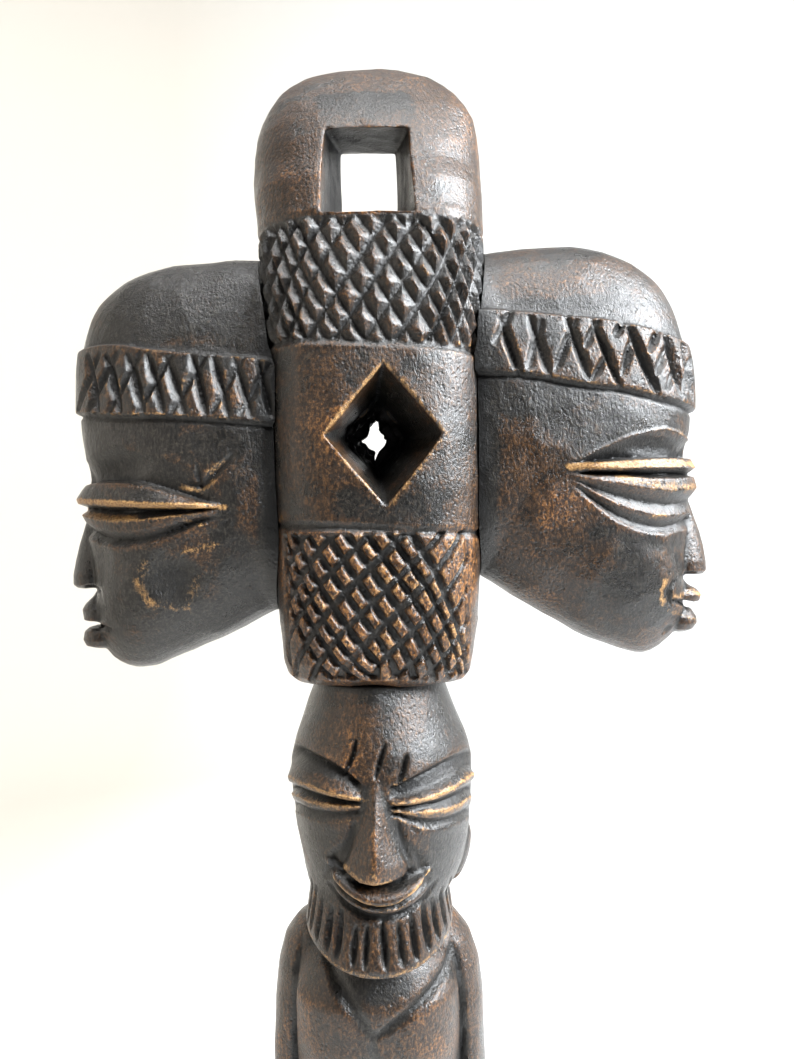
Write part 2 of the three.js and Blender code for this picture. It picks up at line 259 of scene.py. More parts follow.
def stroke(a, b, line, width, depth, pointed=True, steep=1.0):
    """Depth of a cut that follows a line in the plane of a and b; 0 away from it. The cut is
    a V, or, if steep is over 1, a V with a flat bottom and steeper walls."""
    line = np.array(line, float)
    depths = np.zeros(len(a))
    low, high = line.min(0) - width, line.max(0) + width
    near = np.flatnonzero((a > low[0]) & (a < high[0]) & (b > low[1]) & (b < high[1]))
    if not len(near):
        return depths
    p = np.stack([a[near], b[near]], 1)
    lengths = np.linalg.norm(np.diff(line, axis=0), axis=1)
    whole, before = lengths.sum(), 0.0
    closest, along = np.full(len(p), 1e9), np.zeros(len(p))
    for start, end, length in zip(line[:-1], line[1:], lengths):
        t = np.clip(((p - start) @ (end - start)) / length**2, 0, 1)
        away = np.linalg.norm(p - start - t[:, None] * (end - start), axis=1)
        better = away < closest
        closest[better] = away[better]
        along[better] = (before + t[better] * length) / whole
        before += length
    taper = np.sqrt(np.clip(np.sin(math.pi * along), 0, 1)) if pointed else 1.0
    wall = steep * (1 - closest / (width * (0.4 + 0.6 * taper)))
    depths[near] = depth * taper * np.clip(wall, 0, 1)
    return depths


def relief(a, b, stations, lines, heights):
    """Height of a relief whose level lines run across a, each given as b at the stations."""
    levels = [np.interp(a, stations, line) for line in lines]
    height = np.zeros(len(a))
    for k in range(len(levels) - 1):
        top, bottom = levels[k], levels[k + 1]
        inside = (b <= top) & (b > bottom)
        t = (top - b) / np.maximum(top - bottom, 1e-3)
        height[inside] = (heights[k] + (heights[k + 1] - heights[k]) * t)[inside]
    return height


def scoops(co, across, upright, depth, seed):
    """The flats that a knife leaves side by side, with low ridges between."""
    rng = np.random.default_rng(seed)
    scale = np.array([1 / across, 1 / across, 1 / upright])
    p = co * scale
    seeds = p[rng.choice(len(p), max(8, int(len(p) * 0.5 / (across * upright))))]
    tree = kdtree.KDTree(len(seeds))
    for i, s in enumerate(seeds):
        tree.insert(s, i)
    tree.balance()
    away = np.array([tree.find(q)[2] for q in p])
    return depth * (np.minimum(away, 1) ** 2 - 0.25)


def waver(co, size, seed):
    """An uneven hand: a slow wave between -1 and 1."""
    rng = np.random.default_rng(seed)
    total = np.zeros(len(co))
    for _ in range(7):
        way = rng.normal(size=3)
        way *= 2 * math.pi / (size * rng.uniform(0.7, 1.5) * np.linalg.norm(way))
        total += np.sin(co @ way + rng.uniform(0, 2 * math.pi))
    return total / 4


def press(piece, height):
    """Moves each point out by its height."""
    co = points(piece)
    set_points(piece, co + facing(piece) * height[:, None])


def neighbours_mean(piece):
    """A function that averages a value over each point's neighbours."""
    count = len(piece.data.vertices)
    ends = np.empty(len(piece.data.edges) * 2, int)
    piece.data.edges.foreach_get("vertices", ends)
    a, b = ends.reshape(-1, 2).T
    near = np.maximum(np.bincount(a, minlength=count) + np.bincount(b, minlength=count), 1)

    def mean(value):
        gathered = np.bincount(a, value[b], count) + np.bincount(b, value[a], count)
        return gathered / near

    return mean


def read_wear_and_shade(piece, fine=5, broad=45):
    """How far each point stands proud of, or lies below, the skin around it."""
    mean = neighbours_mean(piece)
    co, normal = points(piece), facing(piece)
    smooth = [co[:, k] for k in range(3)]
    proud = []
    for rounds in (fine, broad - fine):
        for _ in range(rounds):
            smooth = [s + 0.5 * (mean(s) - s) for s in smooth]
        proud.append(((co - np.stack(smooth, 1)) * normal).sum(1))
    return proud


COATS = ("worn", "hollow_shade", "ruddy")  # golden edges, painted shade with rougher polish in hollows and recesses, red-brown rubbed wood


def keep_wear_and_shade(piece, coats):
    for name, value in zip(COATS, coats):
        layer = piece.data.attributes.get(name) or piece.data.attributes.new(name, "FLOAT", "POINT")
        layer.data.foreach_set("value", np.clip(value, 0, 1).astype(np.float32))


def thin_out(piece, limit):
    """Fewer facets, where there are too many."""
    piece.data.calc_loop_triangles()
    count = len(piece.data.loop_triangles)
    if count > limit:
        modify(piece, "DECIMATE", ratio=limit / count, use_collapse_triangulate=True)
    return piece


def spot(a, b, at, level, w, h):
    """1 at a place, fading to 0 about w and h away."""
    return np.exp(-(((a - at) / w) ** 2) - ((b - level) / h) ** 2)


def finish_wood(piece, rub, cutters, limit=190000):
    """Reads the wear and where shade is painted, drills the sockets and thins the mesh.
    rub gives the gain of the golden edges, golden lines, places darkened with painted shade, with a
    few random dark patches, and ruddy places."""
    fine, broad = read_wear_and_shade(piece)
    co = points(piece)
    gain, lines, shade_and_dark_patches, ruddy = rub(co)
    coats = np.stack([
        np.clip((fine - 0.03) / 0.3, 0, 1) * gain + lines,
        # painted shade: concave places and the places rub gives go dark and rough
        np.clip((-broad - 0.05) / 0.9, 0, 1) + shade_and_dark_patches,
        np.clip(broad / 1.6, -0.2, 0.5) + ruddy,
    ])
    for cutter in cutters:
        cut_away(piece, cutter)
    thin_out(piece, limit)
    tree = kdtree.KDTree(len(co))
    for i, p in enumerate(co):
        tree.insert(p, i)
    tree.balance()
    match = np.array([tree.find(p)[1] for p in points(piece)])
    keep_wear_and_shade(piece, coats[:, match])
    pick(piece)
    bpy.ops.object.shade_smooth_by_angle(angle=math.radians(50))
    return piece


# ------------------------------------------------------------------ finishes
def node(tree, kind, **values):
    made = tree.nodes.new(kind)
    for key, value in values.items():
        if key in made.inputs:
            made.inputs[key].default_value = value
        else:
            setattr(made, key, value)
    return made


def ramp(tree, source, stops):
    made = tree.nodes.new("ShaderNodeValToRGB")
    elements = made.color_ramp.elements
    while len(elements) < len(stops):
        elements.new(0.5)
    for element, (at, colour) in zip(elements, stops):
        element.position = at
        element.color = (*colour, 1) if len(colour) == 3 else colour
    tree.links.new(source, made.inputs["Fac"])
    return made.outputs["Color"]


def maths(tree, operation, a, b=0.0, clamp=False):
    made = tree.nodes.new("ShaderNodeMath")
    made.operation = operation
    made.use_clamp = clamp
    for socket, value in zip(made.inputs, (a, b)):
        if isinstance(value, (int, float)):
            socket.default_value = value
        else:
            tree.links.new(value, socket)
    return made.outputs[0]


def mix(tree, amount, a, b, blend="MIX"):
    made = tree.nodes.new("ShaderNodeMix")
    made.data_type = "RGBA"
    made.blend_type = blend
    for socket, value in zip((made.inputs["Factor"], made.inputs[6], made.inputs[7]),
        (amount, a, b)):
        if isinstance(value, (int, float)):
            socket.default_value = value
        elif isinstance(value, tuple):
            socket.default_value = (*value, 1)
        else:
            tree.links.new(value, socket)
    return made.outputs[2]


def noise(tree, place, scale, detail=4.0, roughness=0.55, distortion=0.0, stretch=(1, 1, 1)):
    mapping = node(tree, "ShaderNodeMapping")
    mapping.inputs["Scale"].default_value = stretch
    tree.links.new(place, mapping.inputs["Vector"])
    made = node(tree, "ShaderNodeTexNoise", Scale=scale, Detail=detail, Roughness=roughness,
                Distortion=distortion)
    tree.links.new(mapping.outputs["Vector"], made.inputs["Vector"])
    return made.outputs["Fac"]


def stained_wood(name, red=0.5, seed=0.0, gilt=1.0):
    """Black-stained wood, rubbed with polish: red-brown where it has worn thin, golden on edges,
    and darkened with painted shade in its hollows.
    """
    material = bpy.data.materials.new(name)
    material.use_nodes = True
    tree = material.node_tree
    shader = tree.nodes["Principled BSDF"]
    link = tree.links.new
    shift = node(tree, "ShaderNodeMapping")
    shift.inputs["Location"].default_value = (seed, seed * 1.7, seed * 0.6)
    link(node(tree, "ShaderNodeTexCoord").outputs["Object"], shift.inputs["Vector"])
    place = shift.outputs["Vector"]
    worn, hollow_shade, ruddy = (
        node(tree, "ShaderNodeAttribute", attribute_name=coat).outputs["Fac"] for coat in COATS)

    def add(a, b, clamp=False):
        return maths(tree, "ADD", a, b, clamp)

    def times(a, b, clamp=False):
        return maths(tree, "MULTIPLY", a, b, clamp)

    def over(value, start, end):
        return times(add(value, -start), 1 / (end - start), True)

    clouds = noise(tree, place, 30, 5, 0.6, 0.7)
    blotch = noise(tree, place, 120, 5, 0.65, 0.6)
    fibre = noise(tree, place, 1150, 3, 0.7, 0.4, (1, 1, 0.4))
    grit = noise(tree, place, 900, 4, 0.75)
    fleck = noise(tree, place, 2100, 3, 0.7)
    pore = node(tree, "ShaderNodeTexVoronoi", Scale=520, Randomness=1.0)
    link(place, pore.inputs["Vector"])
    pits = times(over(pore.outputs["Distance"], 0.36, 0.14), over(clouds, 0.42, 0.58))

    grain = add(times(fibre, 0.45), times(grit, 0.55))
    stain = ramp(tree, grain, [(0.4, (0.003, 0.003, 0.003)), (0.5, (0.009, 0.008, 0.007)),
                               (0.62, (0.034, 0.029, 0.023))])
    brown = ramp(tree, grain, [(0.4, (0.005, 0.003, 0.002)), (0.5, (0.022, 0.011, 0.005)),
                               (0.61, (0.095, 0.045, 0.017))])
    orange = ramp(tree, grain, [(0.42, (0.012, 0.006, 0.004)), (0.5, (0.075, 0.030, 0.009)),
                                (0.62, (0.34, 0.15, 0.042))])
    cover = add(add(times(clouds, 1.5), times(blotch, 0.9)), times(grit, 0.3))
    cover = add(cover, times(ruddy, 0.95))
    # painted shade: the shaded hollows get less of the brown
    cover = add(cover, times(hollow_shade, -0.8))
    colour = mix(tree, over(cover, 1.5 - 0.3 * red, 1.72 - 0.3 * red), stain, brown)
    colour = mix(tree, over(cover, 1.92 - 0.3 * red, 2.3 - 0.3 * red), colour, orange)

    gold = ramp(tree, fleck, [(0.38, (0.12, 0.052, 0.016)), (0.5, (0.31, 0.165, 0.055)),
                              (0.66, (0.52, 0.32, 0.13))])
    broken = add(add(worn, times(add(blotch, -0.5), 1.5)), times(add(grain, -0.5), 2.2))
    edge = times(over(broken, 0.34, 0.85), over(worn, 0.05, 0.45))
    edge = times(edge, gilt, True)
    colour = mix(tree, edge, colour, gold)
    colour = mix(tree, times(pits, 0.8), colour, (0.004, 0.004, 0.004))
    # painted shade: the hollows and the other shaded places go near black
    colour = mix(tree, over(hollow_shade, 0.3, 1.0), colour, (0.005, 0.005, 0.005))
    link(colour, shader.inputs["Base Color"])

    gloss = add(times(clouds, 0.55), times(blotch, 0.45))
    gloss = add(over(gloss, 0.4, 0.62), times(hollow_shade, 0.6))
    link(add(times(gloss, 0.2), add(times(edge, 0.1), 0.25), True), shader.inputs["Roughness"])
    shader.inputs["Specular IOR Level"].default_value = 0.5
    link(times(add(1.0, times(hollow_shade, -1.2)), 0.2, True), shader.inputs["Coat Weight"])
    shader.inputs["Coat Roughness"].default_value = 0.2

    height = add(times(grit, 0.9), times(fibre, 0.9))
    height = add(height, times(fleck, 0.25))
    height = add(height, times(pits, -0.6))
    height = add(height, times(times(hollow_shade, blotch), 2.0))
    for strength, socket in ((0.52, "Normal"), (0.25, "Coat Normal")):
        bump = node(tree, "ShaderNodeBump", Strength=strength, Distance=0.0006)
        link(height, bump.inputs["Height"])
        link(bump.outputs["Normal"], shader.inputs[socket])
    return material


def dress(piece, material, slot, *nodes):
    piece.data.materials.clear()
    piece.data.materials.append(material)
    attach(piece, "root")
    if nodes:
        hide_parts(*nodes)
    return piece


# ------------------------------------------------------------------ sockets
CROWN = 387.0  # the top of the man's head, where the post sits
GAP = 0.3
EYE_X, EYE_Z = 6.5, 440.0  # where the viewer's eye is, VIEW_DISTANCE in front of the middle
VIEW_DISTANCE = 300.0
FACE_DEPTH = 36.0  # how far in front of the middle the face's pattern is drawn
LOWER_TOP, BAND_BOTTOM, BAND_TOP = 441, 503, 545  # levels of the post's carved fields
# The post's two holes, as (x, z, half width, half height) at the face, the neck and the back
SLOT = (-1.2, 561, 16, 15.4), (-1.2, 569.2, 10.4, 12.2), (-1.2, 579.5, 15, 17.6)
DIAMOND = (3.4, 471.4, 20.8, 24.8), (-1.4, 473.8, 4.4, 8.2), (3.4, 471.4, 20, 24)


def peg_drill(node_name):
    low, high = (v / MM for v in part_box(node_name))
    middle, radius = (low + high) / 2, (high.z - low.z) / 2 + GAP
    start, end = (low.x - GAP, middle.y, middle.z), (high.x + GAP, middle.y, middle.z)
    return bar(start, end, radius, radius)


def tenon_drill():
    low, high = (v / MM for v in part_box("crown_tenon"))
    radius = (high.x - low.x) / 2 + GAP
    return bar((0, 0, low.z - GAP), (0, 0, high.z + GAP), radius, radius)


# ------------------------------------------------------------------ headdress post
def funnel(face, neck, back, front, diamond):
    """A four-sided hole, wide at both faces and narrow at its neck: each is (x, z, w, h)."""
    halves = []
    for side, end in ((-1, face), (1, back)):
        put_down()
        bpy.ops.mesh.primitive_cylinder_add(vertices=4, radius=1, depth=1)
        half = bpy.context.object
        co = points(half) * MM
        turn = np.arctan2(co[:, 1], co[:, 0]) + (0 if diamond else math.pi / 4)
        reach = 1 if diamond else math.sqrt(2)
        outer = co[:, 2] < 0
        spots = np.where(outer[:, None], np.array(end), np.array(neck))
        across = spots[:, 0] + spots[:, 2] * reach * np.cos(turn)
        upright = spots[:, 1] + spots[:, 3] * reach * np.sin(turn)
        set_points(half, np.stack([across, np.where(outer, side * front, -side * 0.4), upright], 1))
        halves.append(face_outward(half))
    return halves


def crossed_cuts(u, z, columns, low, high, lean, width, depth, seed, jitter=0.5, steep=1.0):
    """A field of V cuts that cross: the columns' places at mid height, leaning both ways."""
    rng = np.random.default_rng(seed)
    middle = (low + high) / 2
    deepest = np.zeros(len(u))
    for slope, places in zip(lean, columns):
        for at in places:
            a, b = rng.normal(0, jitter, 2)
            line = [(at + a + slope * (low - middle), low),
                (at + b + slope * (high - middle), high)]
            d = stroke(u, z, line, width * rng.uniform(0.8, 1.2), depth * rng.uniform(0.8, 1.15),
                       False, steep)
            deepest = np.maximum(deepest, d)
    return deepest


def post_form(grow=0.0):
    """The post's plain shape, grown all round to scribe the heads to it."""
    widths = [  # (height, half width, middle)
        (CROWN, 31.2, -0.6), (389.5, 33.2, -0.8), (395, 34.5, -1), (408, 36.2, -0.9),
        (424, 37, -0.5),
        (438, 37.5, 0), (442, 37.2, 0), (455, 37.6, 0), (475, 38, 0), (492, 38.2, 0),
        (500, 38.2, 0),
        (505, 39.4, -0.3), (524, 40.4, -0.5), (540, 40.8, -0.7), (550, 41.2, -1), (560, 41.7, -1.4),
        (568, 41.9, -1.8), (576, 41.8, -1.8), (583, 41, -1.6), (589, 39.6, -1.3),
        (594.5, 37.2, -1.1),
        (599, 34.2, -1.1), (603, 30.2, -1.2), (606, 25.8, -1.2), (608.4, 20.4, -0.8),
        (610.2, 13.5, 0)]
    deep = [(CROWN, 28), (390, 32.5), (396, 35), (408, 36.6), (438, 37.8), (441, 37), (455, 38.2),
            (475, 38.2), (500, 36.4), (506, 37.4), (524, 37.8), (541, 36.4), (548, 34.6), (560, 32),
            (570, 29.4), (580, 26), (588, 22.4), (595, 18.4), (601, 14.2), (606, 9.8), (610.2, 4.5)]
    rings = []
    for z, w, x in widths:
        squareness = 2.5 if z > 562 else 3.3 if 440 < z < 546 else 3.0
        rings.append((z, w + grow, eased(z, *zip(*deep)) + grow, x, 0, squareness))
    return upright_form(rings, 120)


def headdress_post():
    body = post_form()
    for hole in funnel(*SLOT, 36, False):
        cut_away(body, hole)
    for hole in funnel(*DIAMOND, 39.5, True):
        cut_away(body, hole)
    piece = fuse("carved_headdress_post", [body], 0.6, 3)

    co = points(piece)
    x, y, z = co.T
    outer = fade(np.abs(facing(piece)[:, 1]) + np.abs(facing(piece)[:, 0]), 0.5, 0.8)
    u = x + np.sign(x) * np.clip(36 - np.abs(y), 0, 40) * 0.8
    height = 0.35 * waver(co, 46, 1) + scoops(co, 9, 15, 0.65, 2)
    deep_down = fade(-np.hypot(x + 1.4, z - 474.4), -14, -5) * (np.abs(y) < 16)
    height += 2.0 * waver(co, 5, 3) * deep_down
    for face, seed in ((y < 0, 11), (y >= 0, 12)):
        face = face * outer
        band = crossed_cuts(
            u, z, (np.arange(-59, 60, 7.4), np.arange(-62, 60, 10.6)),
            502.5, 546.5, (-0.62, 0.66), 3.0, 2.8, seed, 0.9)
        edge = fade(z, 501.5 - 0.05 * x, 503.6 - 0.05 * x) * (1 - fade(z, 543, 545.5))
        height -= band * edge * face
        lower = crossed_cuts(
            u, z, (np.arange(-36, 34, 7.1), np.arange(-78, 70, 12.2)),
            386, 441, (-0.67, 1.05), 1.75, 2.2, seed + 5, 0.4, 2.0)
        edge = fade(z, 387.5, 389.5) * (1 - fade(z, 438, 439.6))
        edge *= fade(-np.abs(x + 0.8), -32.0, -30.6)
        height -= lower * edge * face
    # the knife lines between the fields
    for level, tilt, w, d in ((502, -0.055, 1.6, 1.3), (545.4, 0.0, 1.8, 0.7),
        (440.2, -0.06, 2.0, 1.3)):
        height -= d * ditch(z - level - tilt * x, w) * outer
    # the lower field's upright edges
    for edge_at in (-32.0, 30.2):
        line = ditch(x - edge_at, 1.3) * fade(z, 388, 392) * (1 - fade(z, 438, 441))
        height -= 0.8 * line * outer * (np.abs(y) > 22)
    beside_head = (np.abs(x) > 33) * (z > 408) * (z < 544) * (np.abs(y) < 31)
    press(piece, np.where(beside_head, np.minimum(height, 0), height))

    cutters = [tenon_drill()]
    cutters += [
        peg_drill(f"{side}_peg_{level}")
        for side in ("left", "right") for level in ("lower", "upper")]

    def rub(co):
        x, y, z = co.T
        lower = (z < LOWER_TOP) * (0.4 + 0.25 * waver(co, 20, 5))
        plain = ((z >= LOWER_TOP) & (z < BAND_BOTTOM)) * 0.9
        band = ((z >= BAND_BOTTOM) & (z < BAND_TOP)) * (0.22 + 0.25 * waver(co, 24, 6))
        at, level, wide, tall = DIAMOND[0]
        rim = np.abs(np.abs(x - at) / wide + np.abs(z - level) / tall - 1)
        lines = 0.3 * fade(-rim, -0.08, -0.02) * (np.abs(y) > 30) * (z > 445) * (z < 498)
        # painted shade on the post beside the heads' seams and inside the two holes
        seam_shade = fade(np.abs(x), 33.5, 37.5) * (z > 408) * (z < 542)
        inside = shade_in_holes(co)
        ruddy = 0.3 * (z > BAND_TOP) + 0.5 * spot(x, z, -18, 470, 14, 26)
        ruddy -= 0.15 * (z > BAND_BOTTOM) * (z < BAND_TOP)
        ruddy += 0.35 * spot(x, z, 30, 430, 8, 30) + 0.3 * (z < 440)
        return lower + plain + band + (z >= BAND_TOP) * 0.5, lines, 0.8 * seam_shade + inside, ruddy

    # painted shade inside the diamond and the slot
    def shade_in_holes(co):
        x, y, z = co.T
        diamond = (np.abs(x - 2) / 24 + np.abs(z - 473) / 28 < 1) * fade(-np.abs(y), -26, -12)
        slot = (np.abs(x + 1.2) < 17) * (np.abs(z - 570) < 24) * fade(-np.abs(y), -30, -14) * 0.85
        return diamond + slot * (np.hypot(x + 1, z - 570) < 30)

    return finish_wood(piece, rub, cutters)


# ------------------------------------------------------------------ profile heads
# Places on a head are (distance out from the middle, height).
LEFT_HEAD = dict(
    side=-1,
    name="carved_left_head",
    outline=[(16, 538.6), (40, 540.6), (56, 540.2), (68, 539.8), (78, 538.2), (88, 535), (96, 530),
             (102.5, 523), (106.7, 513), (108.6, 503), (109, 493), (109, 483), (108.4, 475),
             (107.2, 467), (106.4, 461), (107.6, 455), (108, 449), (107.2, 442), (106, 434),
             (105, 426), (104.4, 417), (104, 408), (103.2, 401.5), (100.2, 396), (95.7, 392.5),
             (90.5, 391), (84, 391.6), (78.5, 393.8), (68.3, 398), (57.7, 401.9), (47.1, 407),
             (38.9, 411), (16, 422)],
    middle=(58, 468),
    band_top=((36, 499.3), (57, 501.5), (72, 503), (92, 506.5), (112, 507)),
    band_bottom=((36, 477.2), (53, 478.6), (73, 480.3), (92, 481.5), (104, 483.5), (112, 485)),
    bold=[((o, 501 + 0.06 * (o - 50)), (o - 5.4, 479 + 0.05 * (o - 50)))
          for o in (101.5, 93.5, 85, 78, 70.5, 62.5, 55, 47.5, 40.5)],
    fine=[((o, 479.5 + 0.05 * (o - 50)), (o - 13, 501 + 0.06 * (o - 50)))
          for o in (108, 101, 93, 82, 70, 57.5, 46)],
    eye=dict(
        stations=(50, 58, 64, 72, 80, 90, 98, 104, 114),
        lines=(
            (452, 461, 463, 466, 468, 469.5, 469.5, 468, 466),
            (450.2, 450.8, 452.9, 455.8, 458.3, 459.6, 459.9, 459.4, 458.5),
            (449.9, 450.4, 452, 454.4, 456.6, 457.9, 458.4, 458, 457.4),
            (449.6, 449.7, 449.9, 450.3, 450.7, 451.4, 452.2, 452.8, 453.6),
            (448.9, 448.8, 448.9, 449.2, 449.5, 450.1, 450.8, 451.4, 452.2),
            (448.4, 448.2, 448.1, 448, 448, 448.2, 449, 449.8, 450.6),
            (447.9, 447.4, 446.8, 445.9, 444.9, 444.7, 445.8, 447.4, 449),
            (447, 446.2, 444.9, 443, 441.8, 441.4, 442.6, 444.8, 447),
            (446, 445, 443.3, 440.6, 438.6, 438, 439.5, 441.7, 444),
            (445, 443.6, 441.6, 438.4, 436, 435.2, 436.7, 439, 441),
            (442, 440.4, 438, 434.6, 432, 431, 432.5, 435, 437),
        ),
        heights=(0, -2.8, 0.9, 3.2, 2.6, -2.1, 1.6, 0.7, -2.0, 0.5, 0),
        outer=(52, 63),
    ),
    nose=[(420.6, 5.5, 6, 107.6), (422, 7.8, 9, 106.8), (425.4, 8.6, 9.4, 106),
        (431, 8.2, 8, 105.6),
          (438, 7.2, 6, 105), (445, 6, 4.4, 104), (452, 4.4, 3.4, 102.6)],
    lips=[[(407.9, 3.4, 7), (409.3, 8, 12), (413.2, 8.6, 12), (415.3, 7.4, 10.6), (417.6, 5.2, 7),
           (420.4, 3.6, 4)],
          [(398.8, 4.6, 8), (399.8, 7.6, 11), (402, 8.6, 12), (405.2, 8, 11.6), (407, 5.8, 9),
           (407.6, 3, 6)]],
    lips_at=102,
    mouth=[(116, 407.9), (104, 407.8), (96.5, 406.4)],
    slots=[
        ([(66.5, 457.2), (60, 456), (48, 467.4)], 2.0, 2.0),
        ([(60.5, 455), (61.2, 464)], 1.3, 1.3),
        ([(98.5, 430), (101, 421), (98, 411)], 2.6, 1.0),
        ([(108, 421.5), (101, 420)], 1.6, 1.4),
    ],
    hollows=[(72, 425, 12, 11, 1.8), (90, 464.5, 15, 7, 1.8), (97.5, 432, 6, 9, 0.9)],
    gilt=[
        ([(52, 448.9), (62, 449.4), (72, 449.9), (80, 450.3), (90, 451), (98, 451.7),
        (113, 453.2)], 1.6, 1.3),
        ([(84, 446), (92, 446), (100, 447.2), (108, 449.4)], 2.4, 0.95),
        ([(61, 446.6), (70, 446), (82, 445)], 1.0, 0.5),
        ([(67, 455.6), (61, 454.6), (56, 457)], 2.4, 0.7), ([(57, 460), (52, 465)], 2.6, 0.5),
        ([(79, 432), (84, 424), (81, 417)], 3.6, 0.46), ([(80, 416), (68, 413)], 3.4, 0.44),
        ([(67, 434), (56, 436)], 3.4, 0.5), ([(63, 425), (67, 416)], 3.4, 0.42),
        ([(66, 445), (60, 443)], 1.6, 0.55),
        ([(110.6, 413), (110.4, 409.6)], 1.6, 0.5), ([(110.4, 404), (108, 400)], 1.6, 0.4),
    ],
    red_patches=[(42, 450, 6, 16, 0.3), (62, 430, 14, 9, 0.2), (70, 506, 25, 4, 0.35)],
    # painted shade in the cheek hollow and under the brow
    shade_patches=[(72, 424, 9, 8, 0.75), (95, 464, 12, 4, 0.6)],
)
RIGHT_HEAD = dict(
    side=1,
    name="carved_right_head",
    outline=[(16, 537), (40, 541.4), (52, 542.8), (67.6, 543.6), (78, 542.9), (88.5, 539.7),
             (96.9, 535.1), (104.2, 528.6), (109.2, 520.2), (112.6, 510), (114.8, 500),
             (115.6, 490),
             (115.6, 481), (114.9, 473.5), (113.6, 468), (113, 463.5), (114.8, 458.5), (115.4, 452),
             (114.6, 446), (113.4, 438), (112.6, 429), (112, 420), (111.8, 411), (111, 404.5),
             (108.4, 400.3), (105, 397.2), (101.3, 394.3), (96.1, 392.4), (90.8, 393.2),
             (83.5, 395.9),
             (75, 399.2), (64.7, 405.2), (54.3, 411.2), (43.9, 418.2), (37, 422.6), (16, 435.6)],
    middle=(62, 470),
    band_top=((36, 515.5), (49, 514.5), (66, 512.5), (80, 510.8), (98, 507.5), (118, 503.5)),
    band_bottom=((36, 493.5), (52, 492), (73, 488), (85.5, 486.6), (97, 484), (118, 480.5)),
    bold=[((44, 513), (50, 491.5)), ((53, 512.5), (60, 490.5)), ((65, 513), (73, 488.5)),
          ((75, 512), (84, 486.5)), ((87, 511), (97, 484)), ((101, 507.5), (107.5, 483.5)),
          ((109.5, 505), (114, 483))],
    fine=[((41, 502), (47.5, 515)), ((51.5, 493), (57.5, 511)), ((61.5, 492), (69.5, 512)),
          ((71.5, 500), (77.5, 511)), ((73.5, 489), (81, 500)), ((82, 504), (87, 511.5)),
          ((84.5, 490), (89.5, 506)), ((94.5, 500), (99, 508.5)), ((97, 491), (103.5, 503.5)),
          ((101, 485.5), (107.5, 498)), ((108, 486), (114, 500))],
    eye=dict(
        stations=(64, 69, 75, 82, 88, 95, 101, 107, 118),
        lines=(
            (461.6, 462.8, 466, 469.3, 471.4, 473, 474, 472.6, 470),
            (461.4, 462.5, 465.5, 468.6, 470.7, 472.3, 473.3, 471.9, 469.4),
            (461.2, 461.8, 462.4, 463, 463.4, 463.8, 464, 464.2, 464.4),
            (460.9, 461.2, 461.4, 461.7, 461.9, 462.3, 462.5, 462.7, 462.9),
            (459.5, 459.1, 459, 459.1, 459.2, 459.3, 459.4, 459.4, 459.6),
            (458.6, 458.0, 457.8, 457.6, 457.5, 457.5, 457.6, 457.8, 458.2),
            (457.8, 457.4, 456.9, 456.5, 456.2, 455.6, 455.6, 456, 457),
            (457.2, 456.4, 455.3, 454.2, 453, 452, 451.6, 452, 453.6),
            (456.6, 455.2, 452.6, 450.4, 448.8, 447.4, 446.8, 447.4, 449),
            (456, 454, 450.6, 447, 445, 443.4, 442.8, 443.4, 445),
            (455.4, 452.8, 448.4, 443.6, 441, 439.2, 438.8, 440, 442),
            (454.6, 451, 446, 440.8, 438.2, 436.4, 436, 437.2, 439),
            (452, 448, 442, 436.6, 434, 432.4, 432, 433, 436),
        ),
        heights=(0, 0.5, -3.0, 2.0, 2.5, -2.1, 1.3, 2.1, -1.1, 0.8, -1.8, 0.4, 0),
        outer=(65, 76),
    ),
    nose=[(420.9, 5, 5, 115.6), (422.4, 7.8, 8.6, 114), (426, 8.6, 9, 113.4), (432, 8.2, 7.6, 113),
          (440, 6.8, 5.6, 112.2), (448, 5, 4.2, 111.2), (455, 3.6, 3.2, 110)],
    lips=[[(410.2, 4, 7), (411.6, 8, 11), (414, 8.8, 11.6), (416.2, 7, 10.4), (417.8, 4.2, 7),
           (420, 3, 4)],
          [(400.3, 2.6, 6), (401.6, 5, 10), (403.8, 6.6, 11.4), (406, 6.4, 11.4), (408.6, 5, 9.4),
           (410, 3.2, 6.4)]],
    lips_at=110,
    mouth=[(124, 410.1), (113, 410.3), (104.5, 412.6)],
    slots=[
        ([(104.2, 420.6), (102, 416.4), (102.6, 411)], 1.5, 1.6),
        ([(106, 430), (108.6, 421.5)], 2.2, 1.2),
        ([(116, 421.6), (108.5, 420.4)], 1.6, 1.4),
        ([(105, 404), (101, 400.6)], 1.6, 0.9),
    ],
    hollows=[(96, 467.6, 15, 4, 0.9), (105.5, 433, 5, 9, 0.9)],
    gilt=[
        ([(65, 460.2), (82, 460.4), (95, 460.9), (118, 461.3)], 2.0, 1.2),
        ([(83, 456.6), (92, 454), (100, 452.9), (112, 453)], 3.0, 0.72),
        ([(100, 420), (98.6, 416), (99.6, 412)], 1.8, 0.9),
        ([(104, 414), (112, 415.4), (118, 414)], 1.8, 0.6),
        ([(101, 410), (108, 407), (115, 405)], 1.8, 0.5),
        ([(92, 442), (101, 443.4)], 1.4, 0.45),
        ([(113, 470), (106, 473.4), (96, 472.6)], 1.2, 0.4),
    ],
    red_patches=[(60, 448, 13, 20, 0.45), (49, 468, 8, 10, 0.35), (60, 524, 24, 7, 0.35),
        (74, 426, 9, 7, 0.35),
                 (56, 414, 13, 7, 0.4), (100, 430, 6, 12, 0.3), (96, 398, 12, 5, 0.3)],
    # painted shade under the brow and in a strip above the band
    shade_patches=[(90, 465, 14, 3, 0.5), (74, 517, 26, 2.6, 0.5)],
)


